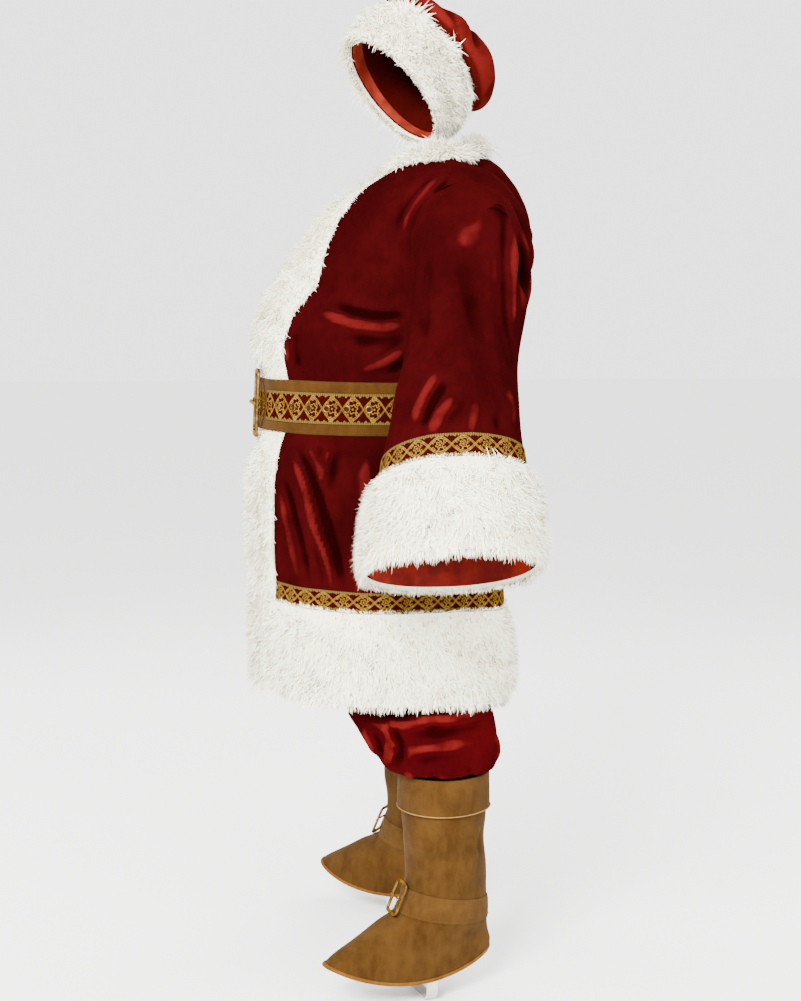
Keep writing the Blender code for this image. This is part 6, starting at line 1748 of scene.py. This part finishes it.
# %% Hat
HAT_CENTRE, HAT_TURN, HAT_TILT = np.array([0.022, -0.102, 1.693]), math.radians(28), math.radians(47)
BRIM_DEPTH, BRIM_SECTION, TIP_CLOSED, HAT_SIDES = 0.026, [0.4, 1.0, 1.0, 0.45], 0.16, 20
FORWARD = np.array([math.sin(HAT_TURN), -math.cos(HAT_TURN), 0.0])
LEFTWARD = np.array([math.cos(HAT_TURN), math.sin(HAT_TURN), 0.0])
BRIM_LONG = FORWARD * math.cos(HAT_TILT) + np.array([0, 0, math.sin(HAT_TILT)])
CROWN_UP = -FORWARD * math.sin(HAT_TILT) + np.array([0, 0, math.cos(HAT_TILT)])
# up from the brim, slump to the nape, shift to the wearer's right, turn, half length, half width
CROWN_RINGS = [
    ("edge", 0.004, 0.000, 0.000, 0, 0.119, 0.088),
    ("brim top", 0.098, 0.000, 0.000, 0, 0.12, 0.09),
    ("side", 0.126, 0.01, 0.000, 2, 0.139, 0.105),
    ("shoulder", 0.149, 0.032, 0.008, 8, 0.13, 0.098),
    ("top", 0.163, 0.056, 0.03, 22, 0.112, 0.082),
    ("bend", 0.167, 0.068, 0.06, 50, 0.092, 0.064),
    ("fold", 0.159, 0.07, 0.092, 80, 0.078, 0.05),
    ("tail", 0.141, 0.068, 0.12, 100, 0.064, 0.04),
    ("tail low", 0.115, 0.064, 0.146, 112, 0.048, 0.032),
    ("tail end", 0.084, 0.06, 0.166, 120, 0.03, 0.022)]
HAT_FOLDS = [(60, 22, -0.007), (300, 24, -0.008), (20, 25, 0.005)]
HAT_CREASES = [
    ([(0.01, 1.838), (0.03, 1.8), (0.036, 1.75)], 0.008, 0.007),
    ([(0.024, 1.846), (0.046, 1.806), (0.05, 1.76)], 0.008, -0.007),
    ([(-0.04, 1.85), (0.000, 1.822), (0.018, 1.78)], 0.01, -0.005),
    ([(-0.06, 1.86), (-0.02, 1.838), (0.004, 1.8)], 0.009, 0.005),
    ([(0.02, 1.74), (0.046, 1.716), (0.06, 1.69)], 0.008, 0.004),
    ([(0.000, 1.72), (0.03, 1.7), (0.05, 1.67)], 0.009, -0.004)]


def hat_ring(up, slump, right, turn, half_length, half_width, creased=0.0):
    side = LEFTWARD * math.cos(math.radians(turn)) + CROWN_UP * math.sin(math.radians(turn))
    middle = HAT_CENTRE + CROWN_UP * up - BRIM_LONG * slump - LEFTWARD * right
    angle = 2 * math.pi * (-np.arange(HAT_SIDES) % HAT_SIDES) / HAT_SIDES
    grow = sum(h * np.exp(-((np.degrees(angle) - a) / w) ** 2) for a, w, h in HAT_FOLDS) * creased
    return (middle + BRIM_LONG * ((half_length + grow) * np.sin(angle))[:, None]
            + side * ((half_width + grow) * np.cos(angle))[:, None])


crown = np.array([hat_ring(*row[1:], creased=smooth((i - 1) / 2)) for i, row in enumerate(CROWN_RINGS)])
crown_out = normals_of(crown, True)
crown_fine, crown_ways = fine(crown, crown_out, 6, closed=True)
flat_size(crown_fine, True)
lift = crease_lift(crown_fine, HAT_CREASES) + crumple(crown_fine, 0.075, 0.0022, 71)
calm = smooth((np.arange(len(crown_fine)) - 7) / 8)[:, None]
shell = crown_fine + crown_ways * (lift * calm)[..., None]
tip_in = shell[-1].mean(0) + unit(shell[-1].mean(0) - shell[-7].mean(0)) * 0.01
closing = [tip_in * (1 - s) + shell[-1] * s - (tip_in - shell[-1].mean(0)) * (s - s * s) * 0.6
           for s in (0.8, 0.5, TIP_CLOSED)]
inner = shell - VELVET * crown_ways
inner_middle = inner[-1].mean(0)
closing_in = [inner_middle + (inner[-1] - inner_middle) * s for s in (0.8, 0.5, TIP_CLOSED)]
add_wall("hat_crown", np.concatenate([shell, closing]), np.concatenate([inner, closing_in]), HAT_VELVET,
         closed=True)
brim = crown[[0, 0, 1, 1]].copy()
rise = unit(crown[1] - crown[0])
brim[0] -= 0.008 * rise
brim[1] += 0.006 * rise
brim[2] -= 0.012 * rise
brim_fine, brim_ways = fine(brim, crown_out[[0, 0, 1, 1]], 6, closed=True)
section = rolled(BRIM_SECTION, len(BRIM_SECTION), 6)[:, None] + np.zeros(brim_fine.shape[:2])
add_fur("hat_brim_fur", brim_fine, brim_ways, BRIM_DEPTH * section, 13000, 72, closed=True,
        droop=0.2, fringes=[("top", 0.011, 0.1, 0.1), ("low", 0.011, 0.1, 0.0), ("under", 0.008, 0.08, 0.0)])
share = np.array([0.02, 0.45])[:, None, None]
lining = crown[0] + share * (crown[1] - crown[0]) - (VELVET + SEAM_GAP) * crown_out[[0, 0]]
lining_fine, lining_ways = fine(lining, crown_out[[0, 0]], 6, closed=True)
flat_size(lining_fine, True)
add_wall("hat_lining", lining_fine, lining_fine - SATIN * lining_ways, HAT_LINING, closed=True)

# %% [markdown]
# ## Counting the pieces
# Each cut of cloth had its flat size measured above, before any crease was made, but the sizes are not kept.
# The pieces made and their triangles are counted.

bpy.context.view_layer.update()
total = sum(sum(len(p.vertices) - 2 for p in o.data.polygons) for o in MADE.values())
print("pieces:", len(MADE), "triangles:", total)
